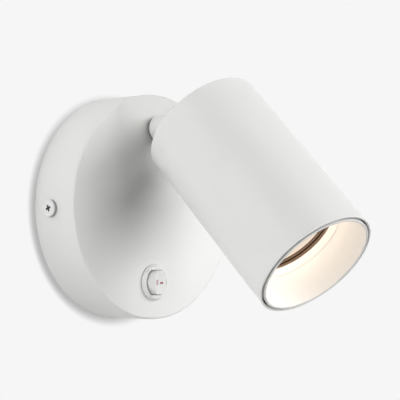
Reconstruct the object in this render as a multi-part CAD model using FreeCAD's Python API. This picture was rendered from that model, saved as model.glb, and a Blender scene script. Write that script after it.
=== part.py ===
import FreeCAD, Part
import math
import os

# A pivoting spotlight wall light: a round canopy with a rocker switch, an arm that swivels in
# the canopy's face, and a cylindrical head that tilts on the arm's end and holds a 50 mm
# twist-lock reflector lamp behind a conical baffle.
#
# The object's frame is in millimetres. Its origin is the centre of the canopy's back face, on
# the wall. +Z is up, +X is to the right as seen from the room, and -Y points into the room.
#
# Pieces are drawn in build axes: x to the right, y up and z out of the wall. A piece of the head
# is drawn as if the head pointed straight out, with z measured forward from its rear face and y
# from its own axis. on_wall and on_head then put the pieces in place.

# Canopy: a spun steel cup, open towards the wall.
canopy_diameter = 110.0
canopy_depth = 26.2
canopy_wall = 1.5
canopy_edge_radius = 0.9

# Wall plate: a pressed strap whose two bent tabs take the canopy's side screws.
plate_thickness = 1.5
plate_height = 34.0
plate_corner_radius = 6.0
plate_end_gap = 6.4
tab_width = 16.0
tab_length = 17.0
tab_bend_radius = 1.2
tab_gap = 0.3
wall_slot_inset = 10.0
wall_slot_width = 4.5
wall_slot_length = 10.0
bush_bore = 12.0
bush_wall = 2.0
bush_flange_width = 2.2
bush_flange_thickness = 1.6
bush_edge_bevel = 0.6

# Side screws, through the canopy's wall into the tabs.
side_screw_height = 11.0
side_screw_drop = 1.7
side_screw_diameter = 4.0
side_screw_head_diameter = 8.4
side_screw_head_height = 1.8
side_screw_end = 5.0

# Terminal block with three poles, its clamp screws and its two fixing screws.
pole_count = 3
pole_pitch = 10.0
pole_width = 5.6
block_length = 16.0
block_height = 12.5
block_offset = 11.0
block_web_height = 4.0
block_tower_diameter = 6.4
block_tower_inset = 4.0
wire_hole_diameter = 3.4
wire_hole_height = 4.2
clamp_screw_diameter = 3.0
clamp_screw_length = 5.0
clamp_screw_sink = 1.0
clamp_slot_width = 0.7
clamp_slot_depth = 0.9
fixing_screw_diameter = 2.5
fixing_head_diameter = 4.0
fixing_head_height = 1.5

# Earth screw and its cup washer, on the wall plate.
earth_offset = -22.0
earth_drop = 8.0
earth_screw_diameter = 4.0
earth_head_diameter = 7.6
earth_head_height = 2.4
earth_washer_diameter = 9.6
earth_washer_thickness = 0.9

# Rocker switch, clipped into the canopy's face.
switch_edge_distance = 18.0
switch_offset = -1.2
bezel_diameter = 17.6
bezel_height = 2.0
bezel_edge_radius = 0.7
bezel_slope_height = 1.0
bezel_slope_width = 1.0
bezel_undercut_height = 0.5
bezel_undercut_depth = 0.5
switch_barrel_diameter = 15.0
switch_barrel_length = 13.0
switch_foot_length = 4.0
switch_foot_width = 11.6
switch_foot_height = 9.0
switch_opening_diameter = 14.2
switch_opening_height = 12.2
switch_well_depth = 6.2
switch_clip_width = 5.0
switch_clip_length = 4.0
switch_clip_reach = 0.9
blade_spacing = 7.0
blade_width = 4.8
blade_thickness = 0.8
blade_length = 6.5
blade_hole_diameter = 1.6
blade_hole_distance = 4.5
rocker_tilt = 11.0
rocker_gap = 0.7
rocker_flat_gap = 0.3
rocker_hinge_depth = 3.2
rocker_edge_height = 2.0
rocker_ridge_height = 5.35
rocker_ridge_inset = 1.6
rocker_valley_height = 4.4
rocker_skirt_depth = 1.0
rocker_edge_radius = 0.3
rocker_ridge_radius = 0.5
rocker_valley_radius = 3.0
rocker_pin_diameter = 2.0
rocker_pin_length = 1.0

# Arm: a turned bar with a threaded neck at the wall end and a flat tongue at the head end.
arm_edge_distance = 16.8
arm_diameter = 13.0
arm_edge_radius = 0.8
arm_bore = 6.4
neck_diameter = 10.0
neck_flat_width = 8.8
neck_end_height = 16.5
neck_end_bevel = 0.5
tongue_thickness = 9.0
tongue_length = 7.6
pivot_projection = 67.7
lead_mouth_length = 5.0
face_washer_thickness = 1.6
face_washer_diameter = 11.2

# What holds the neck behind the canopy's face.
stop_washer_thickness = 1.0
stop_washer_diameter = 17.0
stop_tab_reach = 12.0
stop_tab_width = 1.6
stop_stud_radius = 10.6
stop_stud_diameter = 1.6
stop_stud_length = 2.6
wave_washer_thickness = 0.8
wave_washer_diameter = 15.0
lock_nut_width = 14.0
lock_nut_thickness = 3.0

# Head: a drawn tube closed at the rear by a cast cap that carries the tilt hinge.
head_diameter = 59.5
head_length = 94.3
head_wall = 0.9
head_rear_edge_radius = 0.5
head_mouth_edge_bevel = 0.25
head_tilt_at_rest = 44.6
cap_plate_thickness = 2.5
cap_edge_bevel = 0.4
cap_skirt_length = 9.0
cap_skirt_wall = 1.5
cap_cheek_thickness = 4.1
cap_floor_thickness = 2.0
cap_boss_diameter = 12.0

# Tilt hinge.
pivot_screw_diameter = 4.0
pivot_head_diameter = 7.0
pivot_head_height = 2.6
pivot_nut_width = 7.0
pivot_nut_thickness = 3.2
friction_washer_diameter = 11.0
friction_washer_thickness = 0.8

# Lampholder and the bracket that carries it.
bracket_thickness = 1.2
bracket_width = 26.0
bracket_top = 15.0
bracket_bottom = 25.0
bracket_flange_height = 3.0
bracket_corner_radius = 4.0
bracket_screw_spacing = 18.0
bracket_screw_drop = 20.5
bracket_screw_diameter = 3.0
bracket_screw_length = 7.0
bracket_head_diameter = 5.4
bracket_head_height = 1.8
holder_diameter = 27.0
holder_height = 12.0
holder_edge_bevel = 1.0
holder_screw_spacing = 17.0
holder_screw_diameter = 3.0
holder_head_diameter = 5.4
holder_head_height = 2.0
holder_head_depth = 4.6
holder_lip_thickness = 3.2
holder_cavity_depth = 7.2
sleeve_diameter = 3.0
sleeve_spacing = 4.4
sleeve_drop = 6.0
sleeve_seat_depth = 1.0

# Lamp: a 50 mm reflector lamp with two twist-lock pins.
lamp_diameter = 50.0
lamp_depth_in_mouth = 18.64
lamp_ring_length = 5.8
lamp_ring_opening = 44.9
lamp_ring_edge_bevel = 0.5
lamp_ring_band_width = 1.5
lamp_ring_groove_width = 0.7
lamp_ring_groove_depth = 0.6
lamp_ring_lip_width = 0.7
lamp_ring_lip_height = 0.25
lamp_seat_groove_width = 0.4
lamp_lens_thickness = 1.6
lamp_lens_edge_bevel = 0.4
lamp_base_diameter = 27.0
lamp_base_length = 9.0
lamp_base_edge_bevel = 1.0
lamp_waist_diameter = 31.0
lamp_shoulder_length = 9.0
lamp_groove_count = 2
lamp_groove_width = 1.0
lamp_rim_inset = 1.0
pin_spacing = 10.0
pin_neck_diameter = 3.2
pin_head_diameter = 5.0
pin_head_length = 2.2
pin_end_bevel = 0.5
pin_length = 7.0
pin_slot_gap = 0.25
lamp_twist = 20.0

# Baffle: a moulded cone that slides into the mouth on three spring clips.
baffle_proud = 0.4
baffle_gap = 0.9
baffle_lip_width = 1.15
baffle_lip_edge_bevel = 0.25
baffle_wall = 1.2
baffle_skirt_length = 10.0
baffle_taper = 5.17
baffle_step_depth = 14.9
baffle_step = 0.2
clip_count = 3
clip_angle = 16.0
clip_thickness = 0.4
clip_overlap = 2.6
clip_crest_distance = 3.5
clip_tail_distance = 6.8
clip_tail_drop = 1.0
clip_crest_radius = 0.9

# Leads: silicone-covered wires.
lead_diameter = 1.8
lead_spacing = 2.6
lead_bend_radius = 3.5
switched_lead_low_offset = 19.5
switched_lead_side_offset = 29.2

# Shape of every pan-head screw, as shares of its head's height and of its shank's radius.
screw_bevel_share = 0.5
screw_bevel_spread = 1.5
screw_tip_share = 0.7
screw_taper_share = 0.4

# Clearances.
hole_clearance = 0.1
running_clearance = 0.05
face_clearance = 0.05
swing_clearance = 0.4
seat_clearance = 0.3
thread_clearance = 0.03
tight_clearance = 0.02

# Worked out from the sizes above.
canopy_radius = canopy_diameter / 2
canopy_inner_radius = canopy_radius - canopy_wall
canopy_inner_face = canopy_depth - canopy_wall
arm_height = canopy_radius - arm_edge_distance
switch_height = switch_edge_distance - canopy_radius
tab_corner_height = side_screw_drop + tab_width / 2
tab_face = math.sqrt(canopy_inner_radius ** 2 - tab_corner_height ** 2) - tab_gap
plate_half_length = tab_face - plate_end_gap
wall_slot_offset = plate_half_length - wall_slot_inset
bush_radius = bush_bore / 2 + bush_wall
block_end = block_offset + block_length
hinge_height = canopy_depth + bezel_height - rocker_hinge_depth
arm_radius = arm_diameter / 2
arm_start = canopy_depth + face_washer_thickness
stop_washer_front = canopy_inner_face - face_clearance
wave_washer_front = stop_washer_front - stop_washer_thickness - face_clearance
lock_nut_front = wave_washer_front - wave_washer_thickness - face_clearance
head_radius = head_diameter / 2
head_bore_radius = head_radius - head_wall
pivot_inset = arm_radius
channel_half_width = arm_radius + swing_clearance
channel_reach = pivot_inset + channel_half_width
cap_floor_front = channel_reach + cap_floor_thickness
cheek_face = channel_half_width + cap_cheek_thickness
boss_face = tongue_thickness / 2 + friction_washer_thickness + face_clearance
bracket_rear = cap_floor_front + face_clearance
holder_rear = bracket_rear + bracket_thickness + face_clearance
holder_front = holder_rear + holder_height
lamp_base_face = holder_front + seat_clearance
lamp_front = head_length - lamp_depth_in_mouth
lamp_ring_rear = lamp_front - lamp_ring_length
lens_recess = (lamp_ring_band_width + lamp_ring_groove_width + lamp_ring_lip_width
               + lamp_seat_groove_width)
lens_front = lamp_front - lens_recess
baffle_front = head_length + baffle_proud
baffle_radius = head_bore_radius - baffle_gap
baffle_mouth_radius = baffle_radius - baffle_lip_width
baffle_throat_radius = baffle_mouth_radius - baffle_taper
baffle_throat = lamp_front + seat_clearance
baffle_skirt_rear = head_length - baffle_skirt_length

ORIGIN = FreeCAD.Vector(0, 0, 0)
X_AXIS = FreeCAD.Vector(1, 0, 0)
Y_AXIS = FreeCAD.Vector(0, 1, 0)
Z_AXIS = FreeCAD.Vector(0, 0, 1)

# How far a cutter runs past the face that it cuts through.
overshoot = 1.0


# ---- drawing helpers ----

def rod(radius, low, high, x=0.0, y=0.0):
    """Cylinder along z."""
    return Part.makeCylinder(radius, high - low, FreeCAD.Vector(x, y, low), Z_AXIS)


def cross_rod(radius, low, high, y=0.0, z=0.0):
    """Cylinder along x."""
    return Part.makeCylinder(radius, high - low, FreeCAD.Vector(low, y, z), X_AXIS)


def upright_rod(radius, low, high, x=0.0, z=0.0):
    """Cylinder along y."""
    return Part.makeCylinder(radius, high - low, FreeCAD.Vector(x, low, z), Y_AXIS)


def block(x_range, y_range, z_range):
    """Box between two values on each axis."""
    corner = FreeCAD.Vector(x_range[0], y_range[0], z_range[0])
    sides = [span[1] - span[0] for span in (x_range, y_range, z_range)]
    return Part.makeBox(sides[0], sides[1], sides[2], corner)


def path_edges(corners, closed):
    """Straight edges through (point, radius) corners, with an arc where the radius isn't 0."""
    count = len(corners)
    edges = []
    last_end = None
    first_start = None
    for index, (here, radius) in enumerate(corners):
        start = here
        end = here
        arc = None
        inner = closed or 0 < index < count - 1
        if radius > 0 and inner:
            back = (corners[index - 1][0] - here).normalize()
            ahead = (corners[(index + 1) % count][0] - here).normalize()
            half = back.getAngle(ahead) / 2
            reach = radius / math.tan(half)
            inward = (back + ahead).normalize()
            middle = here + inward * (radius / math.sin(half) - radius)
            start = here + back * reach
            end = here + ahead * reach
            arc = Part.Arc(start, middle, end).toShape()
        if last_end is not None and last_end.distanceToPoint(start) > 1e-6:
            edges.append(Part.LineSegment(last_end, start).toShape())
        if arc is not None:
            edges.append(arc)
        if first_start is None:
            first_start = start
        last_end = end
    if closed and last_end.distanceToPoint(first_start) > 1e-6:
        edges.append(Part.LineSegment(last_end, first_start).toShape())
    return edges


def flat_face(corners, to_space):
    """Face from a closed outline of (u, v) or (u, v, radius) corners."""
    placed = []
    for corner in corners:
        radius = corner[2] if len(corner) > 2 else 0.0
        placed.append((to_space(corner[0], corner[1]), radius))
    return Part.Face(Part.Wire(path_edges(placed, True)))


def solid_of(shape):
    """The same solid, facing outwards."""
    return shape if shape.Volume > 0 else shape.reversed()


def turned(corners, angle=360.0):
    """Revolve an outline of (radius, z) corners about the z axis."""
    face = flat_face(corners, lambda r, z: FreeCAD.Vector(r, 0, z))
    return solid_of(face.revolve(ORIGIN, Z_AXIS, angle))


def prism_along_x(corners, low, high):
    """Extrude an outline of (y, z) corners along x."""
    face = flat_face(corners, lambda y, z: FreeCAD.Vector(low, y, z))
    return solid_of(face.extrude(X_AXIS * (high - low)))


def prism_along_y(corners, low, high):
    """Extrude an outline of (x, z) corners along y."""
    face = flat_face(corners, lambda x, z: FreeCAD.Vector(x, low, z))
    return solid_of(face.extrude(Y_AXIS * (high - low)))


def prism_along_z(corners, low, high):
    """Extrude an outline of (x, y) corners along z."""
    face = flat_face(corners, lambda x, y: FreeCAD.Vector(x, y, low))
    return solid_of(face.extrude(Z_AXIS * (high - low)))


def rounded_plate(half_length, half_height, corner_radius, low, high):
    """Flat plate centred on the z axis with rounded corners."""
    corners = []
    for x_side, y_side in ((-1, -1), (1, -1), (1, 1), (-1, 1)):
        corners.append((x_side * half_length, y_side * half_height, corner_radius))
    return prism_along_z(corners, low, high)


def slot_along_x(length, width, low, high, x, y):
    """Round-ended slot cutter, length from end to end."""
    half = (length - width) / 2
    middle = block((x - half, x + half), (y - width / 2, y + width / 2), (low, high))
    ends = [rod(width / 2, low, high, x + side * half, y) for side in (-1, 1)]
    return middle.fuse(ends)


def hexagon(width_across_flats, low, high):
    """Hexagonal prism along z, with two of its flats facing along x."""
    corner_radius = width_across_flats / 2 / math.cos(math.radians(30))
    corners = []
    for step in range(6):
        angle = math.radians(30 + 60 * step)
        corners.append((corner_radius * math.cos(angle), corner_radius * math.sin(angle)))
    return prism_along_z(corners, low, high)


def pan_screw(head_diameter, head_height, shank_diameter, shank_length):
    """Screw along z: its head stands on z = 0 with a bevelled top, its shank runs to negative z."""
    shank_radius = shank_diameter / 2
    bevel = head_height * screw_bevel_share
    return turned([
        (0, -shank_length),
        (shank_radius * screw_tip_share, -shank_length),
        (shank_radius, -shank_length + shank_radius * screw_taper_share),
        (shank_radius, 0),
        (head_diameter / 2, 0),
        (head_diameter / 2, head_height - bevel),
        (head_diameter / 2 - bevel * screw_bevel_spread, head_height),
        (0, head_height),
    ])


def moved(shape, x=0.0, y=0.0, z=0.0):
    """Copy of a shape, shifted."""
    copy = shape.copy()
    copy.translate(FreeCAD.Vector(x, y, z))
    return copy


def spun(shape, axis, angle, centre=ORIGIN):
    """Copy of a shape, turned about an axis through centre."""
    copy = shape.copy()
    copy.rotate(centre, axis, angle)
    return copy


def lead(points, wire_radius):
    """Wire of round section along straight runs joined by arcs."""
    corners = [(FreeCAD.Vector(*point), lead_bend_radius) for point in points]
    path = Part.Wire(path_edges(corners, False))
    start = corners[0][0]
    heading = (corners[1][0] - start).normalize()
    ring = Part.Wire(Part.Circle(start, heading, wire_radius).toShape())
    return solid_of(path.makePipeShell([ring], True, False))


def on_wall(shape):
    """Build axes to the object's frame, for what is fixed to the canopy or the arm."""
    return spun(shape, X_AXIS, 90)


def on_head(shape):
    """Head axes to the object's frame, with the head at its tilt at rest."""
    copy = moved(shape, 0, -pivot_inset, -pivot_inset)
    copy.rotate(ORIGIN, X_AXIS, 90 + head_tilt_at_rest)
    copy.translate(FreeCAD.Vector(0, -pivot_projection, arm_height))
    return copy


def save(name, shape):
    """Write one node."""
    shape.exportStep("parts/" + name + ".step")


# ---- wall plate and canopy ----

def make_wall_plate():
    """Pressed steel strap with its two tabs bent towards the room."""
    strap = prism_along_y([
        (-tab_face, 0, tab_bend_radius + plate_thickness),
        (tab_face, 0, tab_bend_radius + plate_thickness),
        (tab_face, tab_length),
        (tab_face - plate_thickness, tab_length),
        (tab_face - plate_thickness, plate_thickness, tab_bend_radius),
        (-tab_face + plate_thickness, plate_thickness, tab_bend_radius),
        (-tab_face + plate_thickness, tab_length),
        (-tab_face, tab_length),
    ], -tab_corner_height, tab_width - tab_corner_height)
    plate = rounded_plate(plate_half_length, plate_height / 2, plate_corner_radius, 0, plate_thickness)
    plate = plate.fuse(strap).removeSplitter()
    cutters = [rod(bush_radius + hole_clearance, -overshoot, plate_thickness + overshoot)]
    for side in (-1, 1):
        cutters.append(slot_along_x(wall_slot_length, wall_slot_width, -overshoot,
                                    plate_thickness + overshoot, side * wall_slot_offset, 0))
    cutters.append(cross_rod(side_screw_diameter / 2 + thread_clearance, -canopy_radius, canopy_radius,
                             -side_screw_drop, side_screw_height))
    for place in block_fixing_places():
        cutters.append(rod(fixing_screw_diameter / 2 + thread_clearance, -overshoot,
                           plate_thickness + overshoot, place[0], place[1]))
    cutters.append(rod(earth_screw_diameter / 2 + thread_clearance, -overshoot,
                       plate_thickness + overshoot, earth_offset, -earth_drop))
    return plate.cut(cutters)


def make_canopy():
    """Spun cup with holes for the arm's neck, the switch and the two side screws."""
    cup = turned([
        (canopy_inner_radius, 0),
        (canopy_radius, 0),
        (canopy_radius, canopy_depth, canopy_edge_radius),
        (0, canopy_depth),
        (0, canopy_inner_face),
        (canopy_inner_radius, canopy_inner_face),
    ])
    low = canopy_inner_face - overshoot
    high = canopy_depth + overshoot
    neck_hole = rod(neck_diameter / 2 + hole_clearance, low, high, 0, arm_height)
    switch_hole = rod(switch_barrel_diameter / 2 + hole_clearance, low, high, switch_offset, switch_height)
    screw_holes = cross_rod(side_screw_diameter / 2 + 2 * hole_clearance, -canopy_radius - overshoot,
                            canopy_radius + overshoot, -side_screw_drop, side_screw_height)
    return cup.cut([neck_hole, switch_hole, screw_holes])


def make_canopy_screws():
    """Two pan-head screws that hold the canopy to the tabs from the sides."""
    shank = canopy_radius - tab_face + side_screw_end
    screw = pan_screw(side_screw_head_diameter, side_screw_head_height, side_screw_diameter, shank)
    right = moved(spun(screw, Y_AXIS, 90), canopy_radius, -side_screw_drop, side_screw_height)
    left = moved(spun(screw, Y_AXIS, -90), -canopy_radius, -side_screw_drop, side_screw_height)
    return Part.makeCompound([right, left])


def make_cable_bush():
    """Rubber bush in the plate's cable hole, with its flange on the room side."""
    flange_radius = bush_radius + bush_flange_width
    flange_top = plate_thickness + bush_flange_thickness
    return turned([
        (bush_bore / 2, tight_clearance),
        (bush_radius, tight_clearance),
        (bush_radius, plate_thickness + tight_clearance),
        (flange_radius, plate_thickness + tight_clearance),
        (flange_radius, flange_top - bush_edge_bevel),
        (flange_radius - bush_edge_bevel, flange_top),
        (bush_bore / 2, flange_top),
    ])


def pole_heights():
    """Height of each pole's centre line."""
    return [pole_pitch * (index - (pole_count - 1) / 2) for index in range(pole_count)]


def block_fixing_places():
    """The fixing screws stand between the poles, at the block's middle."""
    heights = pole_heights()
    x = block_offset + block_length / 2
    return [(x, (heights[0] + heights[1]) / 2), (x, (heights[-2] + heights[-1]) / 2)]


def tower_places():
    """The two clamp screws of each pole."""
    offsets = (block_offset + block_tower_inset, block_end - block_tower_inset)
    return [(x, y) for y in pole_heights() for x in offsets]


def make_terminal_block():
    """Moulded strip: a barrel and two screw towers for each pole, on one web."""
    base = plate_thickness
    top = base + block_height
    tower_radius = block_tower_diameter / 2
    half_span = pole_heights()[-1] + tower_radius
    strip = block((block_offset + block_tower_inset, block_end - block_tower_inset),
                  (-half_span, half_span), (base, base + block_web_height))
    barrel_top = base + wire_hole_height + pole_width / 2
    pieces = []
    for y in pole_heights():
        pieces.append(block((block_offset, block_end), (y - pole_width / 2, y + pole_width / 2),
                            (base, barrel_top)))
    for x, y in tower_places():
        pieces.append(rod(tower_radius, base, top, x, y))
    strip = strip.fuse(pieces).removeSplitter()
    cutters = []
    for y in pole_heights():
        cutters.append(cross_rod(wire_hole_diameter / 2, block_offset - overshoot, block_end + overshoot,
                                 y, base + wire_hole_height))
    for x, y in tower_places():
        cutters.append(rod(clamp_screw_diameter / 2 + hole_clearance, base + wire_hole_height,
                           top + overshoot, x, y))
    for x, y in block_fixing_places():
        cutters.append(rod(fixing_screw_diameter / 2 + hole_clearance, base - overshoot,
                           base + block_web_height + overshoot, x, y))
    return strip.cut(cutters)


def make_clamp_screws():
    """One slotted grub screw in each tower."""
    top = plate_thickness + block_height - clamp_screw_sink
    radius = clamp_screw_diameter / 2
    half_slot = clamp_slot_width / 2
    screws = []
    for x, y in tower_places():
        screw = rod(radius, top - clamp_screw_length, top, x, y)
        slot = block((x - radius, x + radius), (y - half_slot, y + half_slot),
                     (top - clamp_slot_depth, top + overshoot))
        screws.append(screw.cut(slot))
    return Part.makeCompound(screws)


def make_block_screws():
    """Two small screws that fix the terminal block to the plate."""
    web_top = plate_thickness + block_web_height
    screw = pan_screw(fixing_head_diameter, fixing_head_height, fixing_screw_diameter,
                      web_top - face_clearance)
    return Part.makeCompound([moved(screw, x, y, web_top) for x, y in block_fixing_places()])


def make_earth_screw():
    """Earth screw in the plate."""
    seat = plate_thickness + earth_washer_thickness
    screw = pan_screw(earth_head_diameter, earth_head_height, earth_screw_diameter,
                      seat - face_clearance)
    return moved(screw, earth_offset, -earth_drop, seat)


def make_earth_washer():
    """Washer under the earth screw's head."""
    ring = rod(earth_washer_diameter / 2, 0, earth_washer_thickness)
    hole = rod(earth_screw_diameter / 2 + hole_clearance, -overshoot, earth_washer_thickness + overshoot)
    return moved(ring.cut(hole), earth_offset, -earth_drop, plate_thickness)


# ---- rocker switch ----

def switch_plan(diameter, height, low, high):
    """Round plan with a flat at the top and at the bottom, as the opening and the rocker have."""
    disc = rod(diameter / 2, low, high)
    band = block((-diameter, diameter), (-height / 2, height / 2), (low, high))
    return disc.common(band)


def make_switch_housing():
    """Round bezel on the canopy's face, with the barrel, the clips and the foot behind it."""
    bezel_radius = bezel_diameter / 2
    barrel_radius = switch_barrel_diameter / 2
    foot_front = -switch_barrel_length
    body = turned([
        (0, foot_front),
        (barrel_radius, foot_front),
        (barrel_radius, tight_clearance),
        (bezel_radius - bezel_undercut_depth, tight_clearance),
        (bezel_radius - bezel_undercut_depth, bezel_undercut_height),
        (bezel_radius, bezel_undercut_height),
        (bezel_radius, bezel_height - bezel_slope_height, bezel_edge_radius),
        (bezel_radius - bezel_slope_width, bezel_height),
        (0, bezel_height),
    ])
    foot = block((-switch_foot_width / 2, switch_foot_width / 2),
                 (-switch_foot_height / 2, switch_foot_height / 2),
                 (foot_front - switch_foot_length, foot_front))
    clip_root = barrel_radius - 2 * switch_clip_reach
    clip_front = -canopy_wall - face_clearance
    clip = prism_along_y([
        (clip_root, clip_front),
        (barrel_radius + switch_clip_reach, clip_front),
        (barrel_radius, clip_front - switch_clip_length),
        (clip_root, clip_front - switch_clip_length),
    ], -switch_clip_width / 2, switch_clip_width / 2)
    body = body.fuse([foot, clip, spun(clip, Z_AXIS, 180)]).removeSplitter()
    well = switch_plan(switch_opening_diameter, switch_opening_height,
                       bezel_height - switch_well_depth, bezel_height + overshoot)
    hinge = bezel_height - rocker_hinge_depth
    pin_reach = rocker_half_height() + rocker_pin_length + hole_clearance
    pin_hole = upright_rod(rocker_pin_diameter / 2 + running_clearance, -pin_reach, pin_reach, 0, hinge)
    body = body.cut([well, pin_hole])
    return moved(body, switch_offset, switch_height, canopy_depth)


def rocker_half_height():
    """Half the rocker's height between its flats."""
    return switch_opening_height / 2 - rocker_flat_gap


def make_rocker():
    """Rocker with two ridges and a shallow valley, pressed in on its right side."""
    radius = switch_opening_diameter / 2 - rocker_gap
    half_height = rocker_half_height()
    ridge = radius - rocker_ridge_inset
    cap = prism_along_y([
        (-radius, -rocker_skirt_depth),
        (radius, -rocker_skirt_depth),
        (radius, rocker_edge_height, rocker_edge_radius),
        (ridge, rocker_ridge_height, rocker_ridge_radius),
        (0, rocker_valley_height, rocker_valley_radius),
        (-ridge, rocker_ridge_height, rocker_ridge_radius),
        (-radius, rocker_edge_height, rocker_edge_radius),
    ], -half_height, half_height)
    cap = cap.common(rod(radius, -rocker_skirt_depth - overshoot, rocker_ridge_height + overshoot))
    pin_reach = half_height + rocker_pin_length
    pins = upright_rod(rocker_pin_diameter / 2, -pin_reach, pin_reach)
    rocker = spun(cap.fuse(pins), Y_AXIS, rocker_tilt)
    return moved(rocker, switch_offset, switch_height, hinge_height)


def make_switch_blades():
    """Two push-on blades behind the switch."""
    front = canopy_depth - switch_barrel_length - switch_foot_length
    half_width = blade_width / 2
    heights = (switch_height - half_width, switch_height + half_width)
    blades = []
    for side in (-1, 1):
        x = switch_offset + side * blade_spacing / 2
        thickness = (x - blade_thickness / 2, x + blade_thickness / 2)
        blade = block(thickness, heights, (front - blade_length, front))
        hole = cross_rod(blade_hole_diameter / 2, x - overshoot, x + overshoot, switch_height,
                         front - blade_hole_distance)
        blades.append(blade.cut(hole))
    return Part.makeCompound(blades)


# ---- leads inside the canopy ----

def make_live_lead():
    """From the terminal block's lowest pole to the switch's right blade."""
    height = plate_thickness + wire_hole_height
    turn_x = block_end + 2 * lead_bend_radius
    blade_x = switch_offset + blade_spacing / 2 + blade_thickness / 2
    points = [
        (block_end - block_tower_inset, pole_heights()[0], height),
        (turn_x, pole_heights()[0], height),
        (turn_x, switch_height, height),
        (blade_x + tight_clearance, switch_height, height),
    ]
    return lead(points, lead_diameter / 2)


def make_neutral_lead():
    """From the terminal block's highest pole into the arm's bore."""
    height = plate_thickness + wire_hole_height
    turn_x = block_end + 2 * lead_bend_radius
    x = lead_spacing / 2
    points = [
        (block_end - block_tower_inset, pole_heights()[-1], height),
        (turn_x, pole_heights()[-1], height),
        (turn_x, arm_height, height),
        (x, arm_height, height),
        (x, arm_height, neck_end_height - hole_clearance),
    ]
    return lead(points, lead_diameter / 2)


def make_switched_lead():
    """From the switch's left blade, round the wall plate, into the arm's bore."""
    height = plate_thickness + wire_hole_height
    blade_x = switch_offset - blade_spacing / 2 - blade_thickness / 2
    x = -lead_spacing / 2
    points = [
        (blade_x - tight_clearance, switch_height, height),
        (-switched_lead_low_offset, switch_height, height),
        (-switched_lead_side_offset, 0, height),
        (-switched_lead_low_offset, arm_height, height),
        (x, arm_height, height),
        (x, arm_height, neck_end_height - hole_clearance),
    ]
    return lead(points, lead_diameter / 2)


# ---- arm ----

def make_arm():
    """Turned bar: threaded neck, rounded shoulder, flat tongue with a round end."""
    tip = pivot_projection + arm_radius
    neck_radius = neck_diameter / 2
    bar = turned([
        (0, neck_end_height),
        (neck_radius - neck_end_bevel, neck_end_height),
        (neck_radius, neck_end_height + neck_end_bevel),
        (neck_radius, arm_start),
        (arm_radius, arm_start, arm_edge_radius),
        (arm_radius, tip),
        (0, tip),
    ])
    side = arm_diameter
    envelope = block((-side, side), (-side, side), (0, pivot_projection))
    envelope = envelope.fuse(cross_rod(arm_radius, -side, side, 0, pivot_projection))
    bar = bar.common(envelope)
    flat_start = pivot_projection - tongue_length
    cutters = []
    for direction in (-1, 1):
        flat = sorted((direction * tongue_thickness / 2, direction * side))
        cutters.append(block(flat, (-side, side), (flat_start, tip + overshoot)))
        key = sorted((direction * neck_flat_width / 2, direction * side))
        cutters.append(block(key, (-side, side), (neck_end_height - overshoot, canopy_inner_face)))
    bore_end = flat_start - hole_clearance
    cutters.append(rod(arm_bore / 2, neck_end_height - overshoot, bore_end))
    mouth = (bore_end - lead_mouth_length, bore_end)
    cutters.append(block((-lead_spacing, lead_spacing), (-side, 0), mouth))
    pivot_hole = pivot_screw_diameter / 2 + running_clearance
    cutters.append(cross_rod(pivot_hole, -side, side, 0, pivot_projection))
    return moved(bar.cut(cutters), 0, arm_height, 0)


def neck_ring(outer_radius, low, high, keyed=False):
    """Flat ring on the neck; a keyed one has a hole that fits the neck's two flats."""
    hole_radius = neck_diameter / 2 + hole_clearance
    hole = rod(hole_radius, low - overshoot, high + overshoot)
    if keyed:
        half_key = neck_flat_width / 2 + hole_clearance
        hole = hole.common(block((-half_key, half_key), (-hole_radius, hole_radius),
                                 (low - overshoot, high + overshoot)))
    return rod(outer_radius, low, high).cut(hole)


def make_face_washer():
    """Nylon washer between the canopy's face and the arm's shoulder."""
    ring = neck_ring(face_washer_diameter / 2, canopy_depth + face_clearance, arm_start - face_clearance)
    return moved(ring, 0, arm_height, 0)


def make_stop_washer():
    """Keyed washer whose tab meets the stud near the end of each half turn."""
    low = stop_washer_front - stop_washer_thickness
    ring = neck_ring(stop_washer_diameter / 2, low, stop_washer_front, True)
    half = stop_tab_width / 2
    root = stop_washer_diameter / 2 - overshoot
    tab = block((-half, half), (root, stop_tab_reach), (low, stop_washer_front))
    return moved(ring.fuse(tab).removeSplitter(), 0, arm_height, 0)


def make_stop_stud():
    """Stud welded inside the canopy's face, below the neck."""
    low = canopy_inner_face - stop_stud_length
    return rod(stop_stud_diameter / 2, low, canopy_inner_face, 0, arm_height - stop_stud_radius)


def make_wave_washer():
    """Spring washer that keeps the swivel stiff."""
    ring = neck_ring(wave_washer_diameter / 2, wave_washer_front - wave_washer_thickness, wave_washer_front)
    return moved(ring, 0, arm_height, 0)


def make_lock_nut():
    """Hexagon nut on the neck's thread."""
    low = lock_nut_front - lock_nut_thickness
    nut = hexagon(lock_nut_width, low, lock_nut_front)
    hole = rod(neck_diameter / 2 + thread_clearance, low - overshoot, lock_nut_front + overshoot)
    return moved(nut.cut(hole), 0, arm_height, 0)


def make_arm_leads():
    """Two leads in the arm's bore, up to the mouth beside the tongue."""
    end = pivot_projection - tongue_length - lead_diameter
    wires = []
    for side in (-1, 1):
        wires.append(rod(lead_diameter / 2, neck_end_height + hole_clearance, end,
                         side * lead_spacing / 2, arm_height))
    return Part.makeCompound(wires)


# ---- head: tube, rear cap and tilt hinge ----

def make_head_tube():
    """Drawn tube with a round-ended notch at its rear edge, where the arm lies at full tilt."""
    tube = turned([
        (head_bore_radius, 0),
        (head_radius, 0, head_rear_edge_radius),
        (head_radius, head_length - head_mouth_edge_bevel),
        (head_radius - head_mouth_edge_bevel, head_length),
        (head_bore_radius + head_mouth_edge_bevel, head_length),
        (head_bore_radius, head_length - head_mouth_edge_bevel),
    ])
    low = -head_radius - overshoot
    notch = block((-channel_half_width, channel_half_width), (low, 0), (-overshoot, pivot_inset))
    round_end = upright_rod(channel_half_width, low, 0, 0, pivot_inset)
    return tube.cut(notch.fuse(round_end))


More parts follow.
